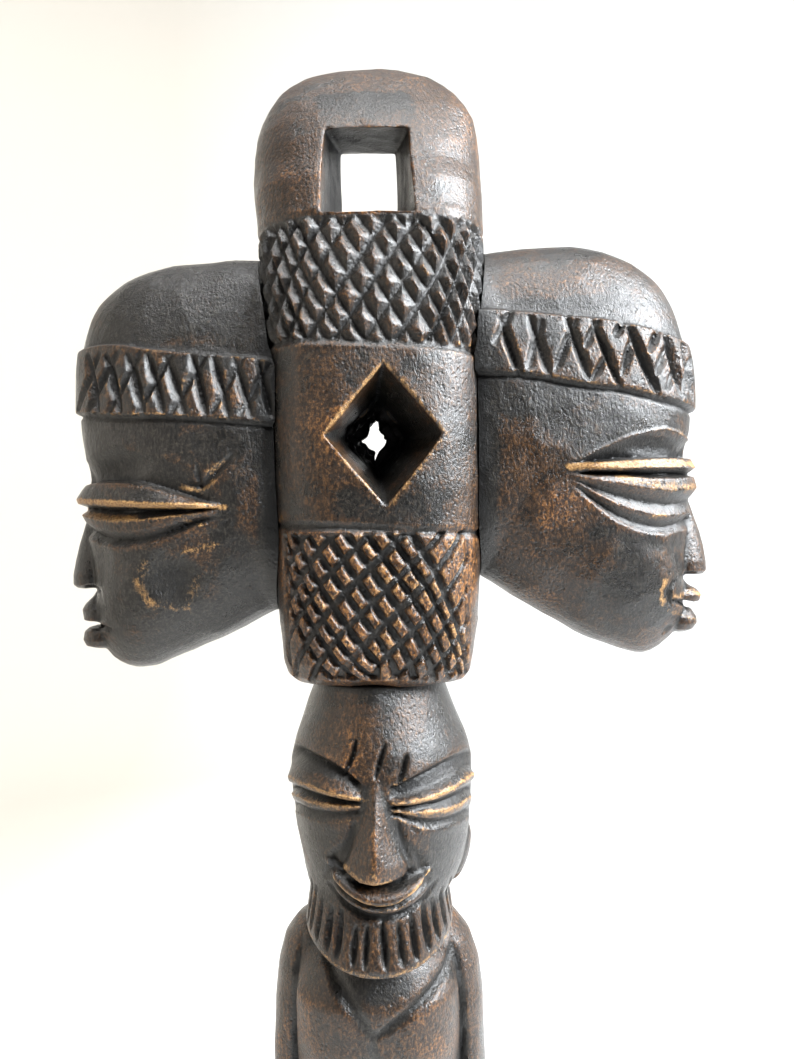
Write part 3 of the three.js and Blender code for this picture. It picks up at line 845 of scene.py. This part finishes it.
def profile_head(head):
    side = head["side"]
    body = lens_form([(side * o, z) for o, z in head["outline"]],
                     (side * head["middle"][0], head["middle"][1]), 27.5)
    nose = upright_form([(z, w, d, side * o, 0, 1.9) for z, w, d, o in head["nose"]], 40)
    lips = [upright_form([(z, w, d, side * head["lips_at"], 0, 2.3) for z, w, d in lip], 48)
            for lip in head["lips"]]
    piece = fuse(head["name"], [body, nose] + lips, 0.56, 2)

    co = points(piece)
    o, z = side * co[:, 0], co[:, 2]
    y = np.abs(co[:, 1])
    cheek = np.clip(fade(y, 3.5, 7.5) + fade(-o, -100, -97), 0, 1)
    top = eased(o, *zip(*head["band_top"]))
    bottom = eased(o, *zip(*head["band_bottom"]))
    on_band = fade(z, bottom - 0.5, bottom + 0.7) * (1 - fade(z, top - 0.9, top + 0.6))
    features = fade(o, 97, 101) * (z < 424)
    height = 0.3 * waver(co, 40, 3) + scoops(co, 11, 13, 0.6, 4) * (1 - on_band) * (1 - features)
    height += 1.7 * on_band
    height -= 0.8 * ditch(z - bottom + 1.0, 1.3)

    eye = head["eye"]
    lid = relief(o, z, eye["stations"], eye["lines"], eye["heights"])
    height += lid * fade(o, *eye["outer"]) * cheek
    for at, level, w, h, depth in head["hollows"]:
        away = np.hypot((o - at) / w, (z - level) / h)
        height -= depth * (1 - fade(away, 0.2, 1)) * cheek
    height -= stroke(o, z, head["mouth"], 1.3, 3.0, False) * (1 - 0.35 * fade(y, 6, 14))
    for line, width, depth in head["slots"]:
        height -= stroke(o, z, line, width, depth) * cheek
    press(piece, height)

    # the band's cuts
    co = points(piece)
    o, z = side * co[:, 0], co[:, 2]
    height = np.zeros(len(co))
    for face, seed in ((co[:, 1] < 0, 21), (co[:, 1] >= 0, 22)):
        rng = np.random.default_rng(seed + side)
        cuts = np.zeros(len(co))
        for lines, width, depth in ((head["bold"], 2.4, 3.2), (head["fine"], 2.0, 2.3)):
            for line in lines:
                line = np.array(line) + rng.normal(0, 0.35, (2, 2))
                wide = width * rng.uniform(0.85, 1.15)
                cuts = np.maximum(cuts, stroke(o, z, line, wide, depth * rng.uniform(0.85, 1.1)))
        height -= cuts * face
    inner = eased(o, *zip(*head["band_bottom"]))
    outer = eased(o, *zip(*head["band_top"]))
    height *= fade(z, inner - 0.8, inner + 0.3) * (1 - fade(z, outer - 0.6, outer + 0.8))
    press(piece, height)

    name = "left" if side < 0 else "right"
    cutters = [block(-30, 30, -60, 60, 360, 600), post_form(0.35)]
    cutters += [peg_drill(f"{name}_peg_{level}") for level in ("lower", "upper")]

    def rub(co):
        o, z = side * co[:, 0], co[:, 2]
        mouth_zone = (1 - fade(z, 424, 430)) * fade(o, 94, 99)
        on_band = fade(z, 476, 480) * (1 - fade(z, 508, 516))
        gilt = sum(stroke(o, z, line, width, depth, False) for line, width, depth in head["gilt"])
        # painted shade beside the post and in the listed places, with random dark patches on the
        # band
        shade_and_dark_patches = fade(-o, -43, -35.5) * (z > 405) + 0.3 * on_band * (waver(co, 15, 8) > 0)
        shade_and_dark_patches = shade_and_dark_patches + sum(a * spot(o, z, *place) for *place, a in head["shade_patches"])
        ruddy = sum(a * spot(o, z, *place) for *place, a in head["red_patches"])
        return 0.2 + mouth_zone * 0.35 + 0.3 * on_band, gilt, shade_and_dark_patches, ruddy

    return finish_wood(piece, rub, cutters)


# ------------------------------------------------------------------ bearded figure
FACE_LEFT = dict(
    stations=(-32, -28, -24, -20, -16, -12, -8, -5),
    lines=(
        (372, 370.5, 368, 366, 363.8, 361, 357.4, 355),
        (370.4, 368.8, 366.3, 364.3, 362, 359.2, 356, 354),
        (364, 362.2, 360, 358, 356.2, 354.6, 353, 352.2),
        (360.4, 358.9, 357, 355.2, 353.8, 352.7, 351.8, 351.3),
        (358.8, 357.4, 355.6, 354, 352.8, 351.8, 351, 350.6),
        (356.6, 355.2, 353.4, 352, 351, 350.2, 349.8, 349.6),
        (354.8, 353.2, 351.4, 350.2, 349.6, 349.2, 349, 349),
        (353, 351.2, 349.2, 348.2, 347.8, 347.8, 348, 348.2),
        (351.4, 349.6, 347.6, 346.4, 346.2, 346.4, 347, 347.4),
        (349.4, 347.4, 345.4, 344, 343.6, 344.2, 345.4, 346.4),
        (345, 343, 341, 339.6, 339.4, 340.4, 342.4, 344),
    ),
    heights=(0, -3.2, 0.4, 2.0, 1.6, -1.9, 0.9, 0.3, -1.5, 0.3, 0),
)
FACE_RIGHT = dict(
    stations=(5, 8, 12, 16, 20, 24, 28, 33),
    lines=(
        (355.5, 357.4, 359.6, 361.6, 363.6, 365.6, 367.4, 369),
        (354.4, 355.9, 358.1, 360.1, 362.1, 364.1, 366, 367.7),
        (351.6, 352.2, 353.8, 355.2, 357, 359.2, 361.6, 363.4),
        (350.2, 350.5, 351.3, 352.4, 354, 356, 358.8, 361.4),
        (349.4, 349.6, 350.2, 351.1, 352.6, 354.4, 357.2, 359.8),
        (348.2, 348, 348.4, 349, 349.8, 351.4, 353.8, 356.4),
        (347.2, 346.8, 346.8, 347, 347.4, 348.6, 351.2, 354),
        (346.6, 345.6, 345, 344.8, 345.2, 346.4, 349, 351.6),
        (346, 344.6, 343.4, 342.8, 343.2, 344.4, 346.8, 349),
        (344.6, 342.8, 341.2, 340.6, 341.2, 342.6, 344.8, 347),
        (342, 340, 338, 337, 337.6, 339, 341, 343),
    ),
    heights=(0, -2.6, -2.0, 1.9, 1.6, -1.7, 0.9, 0.4, -1.5, 0.3, 0),
)


GILT_FACE = [
    ([(-31, 359.5), (-24, 355.9), (-20, 354.2), (-16, 352.8), (-8, 351), (-5, 350.7)], 1.2, 0.52),
    ([(-30, 354), (-24, 350.8), (-19, 349.4), (-12, 348.9)], 1.7, 0.34),
    ([(10, 350), (16, 351.3), (20, 352.9), (24, 354.8), (31, 360)], 1.2, 0.5),
    ([(14, 346.2), (20, 346.4), (25, 348), (30, 351.5)], 2.2, 0.38),
]
GILT_MOUTH = [
    ([(-18.5, 327), (-13.5, 322.6), (-8, 319.7), (-1.9, 318.1), (4.3, 318.7), (9.8, 321.8),
    (15, 325.6)], 1.2, 0.8),
    ([(-12.8, 330.3), (-8, 327.8), (-2, 326.5), (2, 326.8)], 1.2, 0.6),
    ([(-5, 336), (-3.4, 329)], 2.4, 0.42),
]


def beard_rim(x):
    """Height of the beard's lower rim at x, seen from the front."""
    return 294.6 + 7.5 * ((x + 2.5) / 26) ** 2


def bearded_figure():
    skull = upright_form([
        (300, 20, 22, -2.5, -5, 2.1), (310, 24.6, 29, -2.2, -4.5, 2.1),
        (316, 27.4, 31.6, -1.4, -4, 2.1),
        (321, 29.2, 32.8, -0.8, -3, 2.1), (328, 30.8, 34, -0.8, -2.4, 2.1),
        (333, 31.7, 34.6, -0.9, -2, 2.1), (346, 33, 35.4, -1, -1.5, 2.15),
        (357, 33.2, 35.8, -1, -1, 2.15),
        (365, 31.2, 34.4, -1, -0.5, 2.1), (374, 27.8, 31.6, -1.2, 0, 2.1),
        (382, 25, 29, -1.2, 0, 2.1),
        (CROWN - GAP, 23.5, 27.6, -1.2, 0, 2.1)], 80)
    beard = upright_form([
        (288.5, 16, 20, -2.5, -12, 2.2), (290.5, 21.5, 27.5, -2.5, -11.6, 2.2),
        (296, 25.4, 29.4, -2.5, -10.6, 2.2), (303, 26.4, 29, -2.5, -9.5, 2.2),
        (311, 25.4, 27.8, -2.4, -8.8, 2.2),
        (320, 24.6, 26.8, -2.2, -7.5, 2.2)], 80)
    nose = upright_form([
        (325.6, 7.6, 6, -3, -37.2, 1.5), (326.6, 10.4, 8.4, -3.1, -36.4, 1.4),
        (330.4, 11, 9.4, -3.1, -35.8, 1.35),
        (333.5, 9.2, 9.4, -3, -35.4, 1.3), (339, 7, 8.6, -2.9, -34.8, 1.25),
        (347, 5.2, 6.4, -2.7, -34, 1.4),
        (353, 4.2, 4.6, -2.5, -33.6, 1.6), (359, 4.4, 3.2, -2.4, -33.2, 2)], 48)
    lips = [ball(-2, -29.8, 320.6, 18, 12.6, 3.8, 0.1),
        ball(-1.4, -29.4, 316.2, 16.4, 12, 3.6, -0.05)]
    for lip, rise in zip(lips, (6.8, 5.6)):
        co = points(lip)
        co[:, 2] += rise * ((co[:, 0] + 0.6) / 17) ** 2
        set_points(lip, co)
    ears = [ball(-27.4, 1, 317, 3.4, 8, 8.5, 0.12, -0.2),
        ball(27, 1, 319.4, 3.8, 8, 11.5, 0.12, 0.27)]

    trunk = upright_form([
        (150, 29, 25, -1.5, 0, 2.2), (178, 28, 26.5, -2, -2, 2.2), (205, 27, 25.5, -3, -1, 2.2),
        (235, 29, 26.5, -4, -1, 2.4), (262, 30.4, 29.5, -4, -2, 2.6), (278, 30.6, 30, -4, -2, 2.6),
        (289, 27, 27, -4, -1, 2.3), (297, 20.5, 21, -3.5, 1, 2), (304, 16, 17, -3, 2, 2)], 96)
    arms = []
    for side in (-1, 1):
        arms.append(upright_form([
            (196, 8, 10, side * 28.4 - 3.6, -2, 2), (204, 9.8, 12.5, side * 29.4 - 3.6, -1, 2),
            (225, 9.2, 12.5, side * 30 - 3.8, 1, 2.2), (250, 9.4, 13.5, side * 30 - 4.1, 2, 2.2),
            (268, 9.8, 14.5, side * 28.9 - 3.7, 2, 2.2),
            (280, 9.8, 14.5, side * 27.4 - 3.6, 2, 2.1),
            (289, 9.6, 13.4, side * 24.9 - 3.7, 2, 2), (295.5, 8, 11, side * 21.4 - 4, 2, 2),
            (299.5, 5, 7, side * 17.5 - 4, 2, 2)], 48))
        arms.append(bar((side * 29.5 - 3.5, -4, 203), (side * 9 - 2, -27, 206), 9.2, 6.6))
        arms.append(ball(side * 7.6 - 1.5, -28.5, 207.5, 9, 5.4, 7.4, 0, side * 0.25))

    skirt = upright_form([
        (112, 32, 29.5, 0, 0, 2.3), (115, 33.4, 30.8, 0, 0, 2.3), (136, 32.2, 29.7, -0.5, 0, 2.2),
        (160, 30.6, 28.4, -1.5, -1, 2.2), (171, 30.2, 28.4, -2, -2, 2.2),
        (175, 30, 28.2, -2, -2, 2.2),
        (177, 27, 26, -2, -2, 2.2)], 96)
    belt = upright_form([(168, 30.5, 28.6, -2, -2, 2.2), (169.5, 32.2, 30.4, -2, -2, 2.2),
                         (177.5, 32, 30.2, -2, -2, 2.2), (179, 30, 28.4, -2, -2, 2.2)], 96)
    legs = []
    for side in (-1, 1):
        legs.append(upright_form([
            (38, 10.5, 13, side * 17, 4), (50, 9.6, 12.3, side * 17, 4),
            (60, 11, 14, side * 16.8, 5),
            (70, 12.2, 15.4, side * 16.5, 5), (82, 11.6, 13.6, side * 16.2, 1.5),
            (90, 12.6, 15.2, side * 16, -2.5), (97, 12, 14.6, side * 16, -2.5),
            (104, 12.8, 15.6, side * 15.8, -1), (118, 13.6, 17, side * 15.5, 0)], 48))
        legs.append(upright_form([
            (38, 11, 24, side * 17.6, -10, 2.5), (44, 11.3, 24, side * 17.6, -10, 2.5),
            (48.5, 10.4, 21.6, side * 17.6, -8.5, 2.3), (53, 9, 15.5, side * 17.4, -3, 2),
            (58, 8, 11, side * 17.2, 1.5, 2)], 48))
    board = upright_form([(30.4, 38.8, 38.8, 0, 0, 2.7), (31.4, 40, 40, 0, 0, 2.7),
        (39.6, 39.4, 39.4, 0, 0, 2.7),
                          (41, 37.8, 37.8, 0, 0, 2.7)], 96)

    head = fuse("carved_bearded_figure", [skull, beard, nose] + lips + ears, 0.66, 3)
    body = fuse("rough_body", [trunk, skirt, belt, board] + arms + legs, 1.15, 4)
    carve_head(head)
    carve_body(body)
    modify(head, "BOOLEAN", operation="UNION", solver="MANIFOLD", object=body)
    bpy.data.objects.remove(body)

    screws = []
    for name in ("left_plinth_screw", "right_plinth_screw"):
        low, high = (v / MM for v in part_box(name))
        middle = (low + high) / 2
        screws.append(bar((middle.x, middle.y, 20), (middle.x, middle.y, high.z + 1), 2.5, 2.5))
    flat_top = block(-60, 60, -60, 60, CROWN - GAP, CROWN + 40)
    flat_foot = block(-60, 60, -60, 60, 10, 30 + GAP)

    def rub(co):
        x, y, z = co.T
        front = 1 - fade(y, -16, -8)
        face = fade(z, 309, 314) * (1 - fade(z, 356, 360)) * front
        on_rim = (z < 308) * (z > 288) * (np.hypot(x + 2.5, y + 8) > 22)
        lines = 0.6 * np.exp(-((z - beard_rim(x) + 0.1) / 0.8) ** 2) * on_rim
        px, pz = laid_on(co)
        for line, width, depth in GILT_FACE:
            lines = lines + stroke(px, pz, line, width, depth, False) * front
        for line, width, depth in GILT_MOUTH:
            lines = lines + stroke(x, z, line, width, depth, False) * front
        # painted shade where the head meets the post, under the beard and in the brow sockets
        shade_and_dark_patches = fade(z, 383.5, 386.5) + 0.5 * spot(x, z, -4, 284, 12, 6) * front
        for part in (FACE_LEFT, FACE_RIGHT):
            side = (x < -6) if part is FACE_LEFT else (x > 4)
            shade_and_dark_patches = shade_and_dark_patches + 0.7 * relief(px, pz, part["stations"], part["lines"][:3],
                (0, 1, 0)) * front * side
        ruddy = 0.6 * spot(x, z, -11, 372, 10, 14) * front
        ruddy = ruddy + 0.35 * spot(x, z, -4, 333, 5, 12) * front
        ruddy += 0.4 * spot(x, z, -28, 262, 12, 16) + 0.4 * spot(x, z, 14, 262, 14,
            9) + 0.25 * (z < 180)
        return 0.25 + 0.35 * face + 0.35 * (z < 200), lines, shade_and_dark_patches, ruddy

    return finish_wood(head, rub, [tenon_drill(), flat_top, flat_foot] + screws)


def laid_on(co):
    """Where a flat pattern held FACE_DEPTH in front of the middle falls on the rounded face,
    seen from the viewer's eye."""
    nearness = (VIEW_DISTANCE - FACE_DEPTH) / (VIEW_DISTANCE + co[:, 1])
    return EYE_X + (co[:, 0] - EYE_X) * nearness, EYE_Z + (co[:, 2] - EYE_Z) * nearness


def carve_head(piece):
    co = points(piece)
    x, y, z = co.T
    px, pz = laid_on(co)
    front = 1 - fade(y, -14, -5)
    height = 0.2 * waver(co, 26, 7) + scoops(co, 7, 9, 0.22, 8)
    off_nose = fade(np.abs(x + 2.5), 4.0, 6.5)
    for part in (FACE_LEFT, FACE_RIGHT):
        side = (x < -2.5) if part is FACE_LEFT else (x >= -2.5)
        lid = relief(px, pz, part["stations"], part["lines"], part["heights"])
        height += lid * front * off_nose * side
    for line, width, depth in (
        ([(-8.4, 371.6), (-10, 365.5), (-12.8, 359.4)], 1.2, 2.7),
        ([(1.3, 369.6), (-0.6, 364), (-2.6, 357.4)], 1.1, 2.5),
        ([(8.4, 366), (7.2, 361), (5.2, 355.2)], 1.3, 2.7),
    ):
        height -= stroke(px, pz, line, width, depth) * front
    # the parting of the lips, the corners of the mouth and the sides of the nose
    smile = [(-20, 327.4), (-14, 321.6), (-8, 318.6), (-2, 317.1), (4.4, 317.7), (10, 320.6),
        (16.5, 326.2)]
    height -= stroke(x, z, smile, 0.9, 1.5) * front
    under = [(-19.5, 321.5), (-13, 315.6), (-6, 312.6), (0, 311.8), (7, 313), (13, 316.6),
        (18, 321.5)]
    height -= stroke(x, z, under, 1.6, 1.6) * front
    over_lip = [(-18, 330.5), (-13, 327.4), (-8, 325), (-2, 324.2), (5, 324.8), (10, 327.4)]
    height -= stroke(x, z, over_lip, 1.5, 2.2) * front
    for side in (-1, 1):
        fold = [(side * 10 - 2.8, 337), (side * 14.5 - 2.8, 330), (side * 17.6 - 2.8, 322)]
        height -= stroke(x, z, fold, 2.2, 1.0) * front
        wing = [(side * 6.6 - 2.8, 345), (side * 9.2 - 2.8, 336), (side * 11.4 - 2.8, 329)]
        height -= stroke(x, z, wing, 1.8, 1.2) * front
    height -= stroke(x, z, [(8.6, 344), (9.6, 341), (11.6, 339)], 1.4, 0.8) * front

    # the beard's locks and its rim
    angle = np.degrees(np.arctan2(x + 2.5, -(y + 6)))
    low, high = beard_rim(x), 310.6 + 8.0 * fade(np.abs(x + 2.5), 6, 24)
    rng = np.random.default_rng(31)
    locks = np.zeros(len(co))
    for at in np.arange(-100, 104, 9.4):
        centre = at + rng.normal(0, 0.8) - np.sign(at) * 0.12 * (z - 300)
        away = np.abs(angle - centre) * math.pi / 180 * 31
        t = np.clip((z - low - 1.5) / (high - low - rng.uniform(0, 3)), 0, 1)
        leaf = np.clip(np.sin(math.pi * t**0.8), 0, 1) ** 0.6
        deep = rng.uniform(2.1, 2.8)
        wide = rng.uniform(1.4, 1.8) * (0.35 + 0.65 * leaf)
        locks = np.maximum(locks, deep * leaf * np.clip(1 - away / wide, 0, 1))
    height -= locks * (np.abs(angle) < 106)
    below = (z < beard_rim(x)) & (z < 310)
    press(piece, height)
    co = points(piece)
    raised = np.maximum(co[:, 2], beard_rim(co[:, 0]) - 0.8)
    co[:, 2] = np.where(below & (np.abs(angle) < 115), raised, co[:, 2])
    set_points(piece, co)


def carve_body(piece):
    co = points(piece)
    x, y, z = co.T
    normal = facing(piece)
    height = 0.4 * waver(co, 50, 9) + scoops(co, 8, 18, 0.34, 10)
    front = 1 - fade(y, -8, -2)
    for line, width, depth in (
        ([(-25, 298), (-20, 291), (-13, 281), (-4.6, 269)], 3.2, 1.5),
        ([(24, 290), (20, 285), (8, 278), (-4.6, 269.6)], 2.4, 2.0),
        ([(-5, 271), (-4.6, 262), (-4.4, 236)], 2.2, 0.9),
        ([(-26, 254), (-16, 243), (-6, 241)], 3.0, 0.9),
        ([(18, 254), (8, 243), (-2, 241)], 3.0, 0.9),
        ([(-30.4, 294), (-32.6, 284), (-33.6, 274), (-34.2, 255), (-34, 214)], 1.7, 2.4),
        ([(23, 292), (25.6, 282), (26.4, 274), (26.6, 255), (26.4, 214)], 1.7, 2.4),
    ):
        height -= stroke(x, z, line, width, depth) * front
    # the skirt's hatching between its hem and its belt
    seen = fade(-np.abs(normal[:, 2]), -0.6, -0.4)
    for face, seed in ((y < 0, 41), (y >= 0, 42)):
        u = x + np.sign(x) * np.clip(30 - np.abs(y), 0, 40) * 0.8
        cuts = crossed_cuts(u, z, (np.arange(-66, 66, 8.4), np.arange(-70, 66, 10.6)), 118, 166,
                            (-0.62, 0.8), 2.7, 1.9, seed, 0.5)
        height -= cuts * face * fade(z, 118, 120) * (1 - fade(z, 163, 165)) * seen
    for level, width, depth in ((117, 1.5, 1.2), (166, 1.6, 1.4)):
        height -= depth * ditch(z - level, width) * seen * (np.hypot(x, y) > 20)
    # fingers and toes
    for side in (-1, 1):
        for k in range(3):
            finger = [(side * 2.2 - 1.5, 203.4 + 3.0 * k), (side * 11 - 1.5, 204.4 + 3.2 * k)]
            height -= stroke(x, z, finger, 0.9, 0.9) * (y < -26)
            toe_x = side * 17.6 + (k - 1) * 4.6
            height -= stroke(x, y, [(toe_x, -36), (toe_x, -26)], 1.1, 1.2) * (z > 42) * (z < 52)
    press(piece, height)


# ------------------------------------------------------------------ plinth
def plinth():
    low, high = (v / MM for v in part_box("plinth"))
    w, d, top = (high.x - low.x) / 2, (high.y - low.y) / 2, high.z
    body = upright_form([
        (low.z, w - 2.6, d - 2.6, 0, 0, 5), (low.z + 2, w - 0.6, d - 0.6, 0, 0, 5),
        (low.z + 5, w - 0.2, d - 0.2, 0, 0, 5), (top - 7, w - 1.8, d - 1.8, 0, 0, 5),
        (top - 3, w - 3, d - 3, 0, 0, 5), (top - 0.8, w - 4.6, d - 4.6, 0, 0, 4.8),
        (top, w - 6.2, d - 6.2, 0, 0, 4.8)], 128)
    piece = fuse("carved_plinth", [body], 1.1, 2)
    co = points(piece)
    x, y, z = co.T
    height = 0.3 * waver(co, 40, 14) + scoops(co, 9, 9, 0.3, 15)
    height *= fade(z, low.z + 1, low.z + 4)
    side_on = np.abs(facing(piece)[:, 2]) < 0.5
    for level in (top - 8.5, low.z + 7):
        height -= 1.1 * ditch(z - level, 1.7) * side_on
    press(piece, height)
    cutters = [block(-90, 90, -90, 90, -20, low.z + 0.05)]
    for name in ("left_plinth_screw", "right_plinth_screw"):
        a, b = (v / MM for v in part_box(name))
        at, r = (a.x + b.x) / 2, (b.x - a.x) / 2
        cutters.append(bar((at, 0, -5), (at, 0, top + 5), 2.5, 2.5))
        cutters.append(bar((at, 0, -5), (at, 0, 6.5), r + GAP, r + GAP))
    return finish_wood(piece, lambda co: (0.4, 0, 0, 0.2 * (co[:, 2] > 20)), cutters)


# ------------------------------------------------------------------ hidden fittings
def plain_finish(name, colours, scale, roughness, metallic=0.0, stretch=(1, 1, 1), bump=0.2,
    sheen=0.0):
    material = bpy.data.materials.new(name)
    material.use_nodes = True
    tree = material.node_tree
    shader = tree.nodes["Principled BSDF"]
    place = node(tree, "ShaderNodeTexCoord").outputs["Object"]
    grain = noise(tree, place, scale, 4, 0.6, 0.2, stretch)
    tree.links.new(ramp(tree, grain, [(0.3, colours[0]), (0.7, colours[1])]),
        shader.inputs["Base Color"])
    gloss = ramp(tree, grain, [(0.3, (roughness[0],) * 3), (0.7, (roughness[1],) * 3)])
    tree.links.new(gloss, shader.inputs["Roughness"])
    shader.inputs["Metallic"].default_value = metallic
    shader.inputs["Sheen Weight"].default_value = sheen
    bumps = node(tree, "ShaderNodeBump", Strength=bump, Distance=0.0005)
    tree.links.new(grain, bumps.inputs["Height"])
    tree.links.new(bumps.outputs["Normal"], shader.inputs["Normal"])
    return material


# ------------------------------------------------------------------ assembly
black_wood = stained_wood("figure_black_wood", 0.45, 0.0)
post_wood = stained_wood("post_black_wood", 0.5, 0.31)
left_wood = stained_wood("left_head_black_wood", 0.2, 0.13)
right_wood = stained_wood("right_head_black_wood", 0.6, 0.52)
plinth_wood = stained_wood("plinth_black_wood", 0.3, 0.77)

dress(headdress_post(), post_wood, "post_wood", "headdress_post")
dress(profile_head(LEFT_HEAD), left_wood, "head_wood", "left_profile_head")
dress(profile_head(RIGHT_HEAD), right_wood, "head_wood", "right_profile_head")
dress(bearded_figure(), black_wood, "figure_wood", "bearded_figure")
dress(plinth(), plinth_wood, "plinth_wood", "plinth")

raw_wood = plain_finish("bare_dowel_wood", ((0.42, 0.26, 0.12), (0.62, 0.44, 0.24)), 300,
    (0.6, 0.75), 0, (0.2, 1, 1))
screw_steel = plain_finish("zinc_screw_steel", ((0.42, 0.42, 0.41), (0.6, 0.6, 0.58)), 500,
    (0.28, 0.42), 1)
green_felt = plain_finish("green_felt", ((0.015, 0.04, 0.022), (0.04, 0.085, 0.05)), 1600,
    (0.9, 1), 0, (1, 1, 1), 0.8, 0.4)
for name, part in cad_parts.items():
    finish = None
    if "peg" in name or "tenon" in name:
        finish = raw_wood
    elif "screw" in name:
        finish = screw_steel
    elif "felt" in name:
        finish = green_felt
    if finish:
        part.data.materials.clear()
        part.data.materials.append(finish)


# ------------------------------------------------------------------ room, lights and camera
def plain_paper(name, colours):
    material = bpy.data.materials.new(name)
    material.use_nodes = True
    tree = material.node_tree
    shader = tree.nodes["Principled BSDF"]
    place = node(tree, "ShaderNodeTexCoord").outputs["Object"]
    across = node(tree, "ShaderNodeSeparateXYZ")
    tree.links.new(place, across.inputs[0])
    tree.links.new(ramp(tree, maths(tree, "ADD", across.outputs["X"], 0.5), colours),
        shader.inputs["Base Color"])
    shader.inputs["Roughness"].default_value = 0.9
    return material


def room():
    """A round pale room with a floor that curves up into its wall."""
    put_down()
    bpy.ops.mesh.primitive_circle_add(vertices=96, radius=1.2, fill_type="NGON")
    backdrop = bpy.context.object
    backdrop.name = "pale_room"
    bpy.ops.object.mode_set(mode="EDIT")
    bpy.ops.mesh.select_all(action="SELECT")
    rise = [(math.sin(a) * 0.5, (1 - math.cos(a)) * 0.5) for a in np.linspace(0, math.pi / 2, 9)]
    rise.append((0.5, 2.6))
    for (r0, z0), (r1, z1) in zip(rise[:-1], rise[1:]):
        bpy.ops.mesh.extrude_region_move(TRANSFORM_OT_translate={"value": (0, 0, z1 - z0)})
        scale = (1.2 + r1) / (1.2 + r0)
        bpy.ops.transform.resize(value=(scale, scale, 1), center_override=(0, 0, 0))
    bpy.ops.mesh.delete(type="ONLY_FACE")
    bpy.ops.mesh.select_all(action="SELECT")
    bpy.ops.mesh.bisect(plane_co=(0, -0.55, 0), plane_no=(0, -1, 0), clear_outer=True)
    bpy.ops.object.mode_set(mode="OBJECT")
    bpy.ops.object.shade_smooth_by_angle(angle=math.radians(40))
    # the paper is painted darker and warmer towards the left: painted warm shade on that side
    backdrop.data.materials.append(plain_paper(
        "pale_paper_with_painted_shade", [(0.0, (0.635, 0.595, 0.53)), (0.45, (0.75, 0.735, 0.705)),
            (1.0, (0.78, 0.78, 0.775))]))


def lamp(name, place, target, size, power, colour=(1, 1, 1)):
    put_down()
    bpy.ops.object.light_add(type="AREA", location=place)
    light = bpy.context.object
    light.name = name
    light.data.shape = "RECTANGLE"
    light.data.size, light.data.size_y = size
    light.data.energy = power
    light.data.color = colour
    light.rotation_euler = (Vector(target) - Vector(place)).to_track_quat("-Z", "Y").to_euler()
    light.visible_camera = False


room()
lamp("window_right", (0.9, -0.42, 1.05), (0, 0, 0.46), (0.45, 0.6), 66, (0.92, 0.96, 1))
lamp("ceiling", (0.05, -0.4, 1.5), (0, 0, 0.45), (0.4, 0.4), 12)
lamp("wall_left", (-1.0, -0.6, 0.6), (0, 0, 0.45), (0.4, 0.9), 3.5, (1, 0.9, 0.78))
lamp("backdrop_wash", (0.0, 0.55, 1.9), (0, 1.7, 0.5), (2.2, 0.6), 11)

world = bpy.data.worlds.new("pale_world")
bpy.context.scene.world = world
world.use_nodes = True
world.node_tree.nodes["Background"].inputs["Color"].default_value = (0.96, 0.97, 1.0, 1)
world.node_tree.nodes["Background"].inputs["Strength"].default_value = 0.1

put_down()
bpy.ops.object.camera_add(location=Vector((EYE_X, -VIEW_DISTANCE, EYE_Z)) * MM)
camera = bpy.context.object
camera.data.sensor_fit = "VERTICAL"
camera.data.sensor_height = 36
camera.data.lens = 36 * 800 / 1059
camera.data.clip_start = 0.01
camera.rotation_euler = (math.pi / 2, math.radians(1.2), 0)
bpy.context.scene.camera = camera
bpy.context.scene.view_settings.view_transform = "Standard"
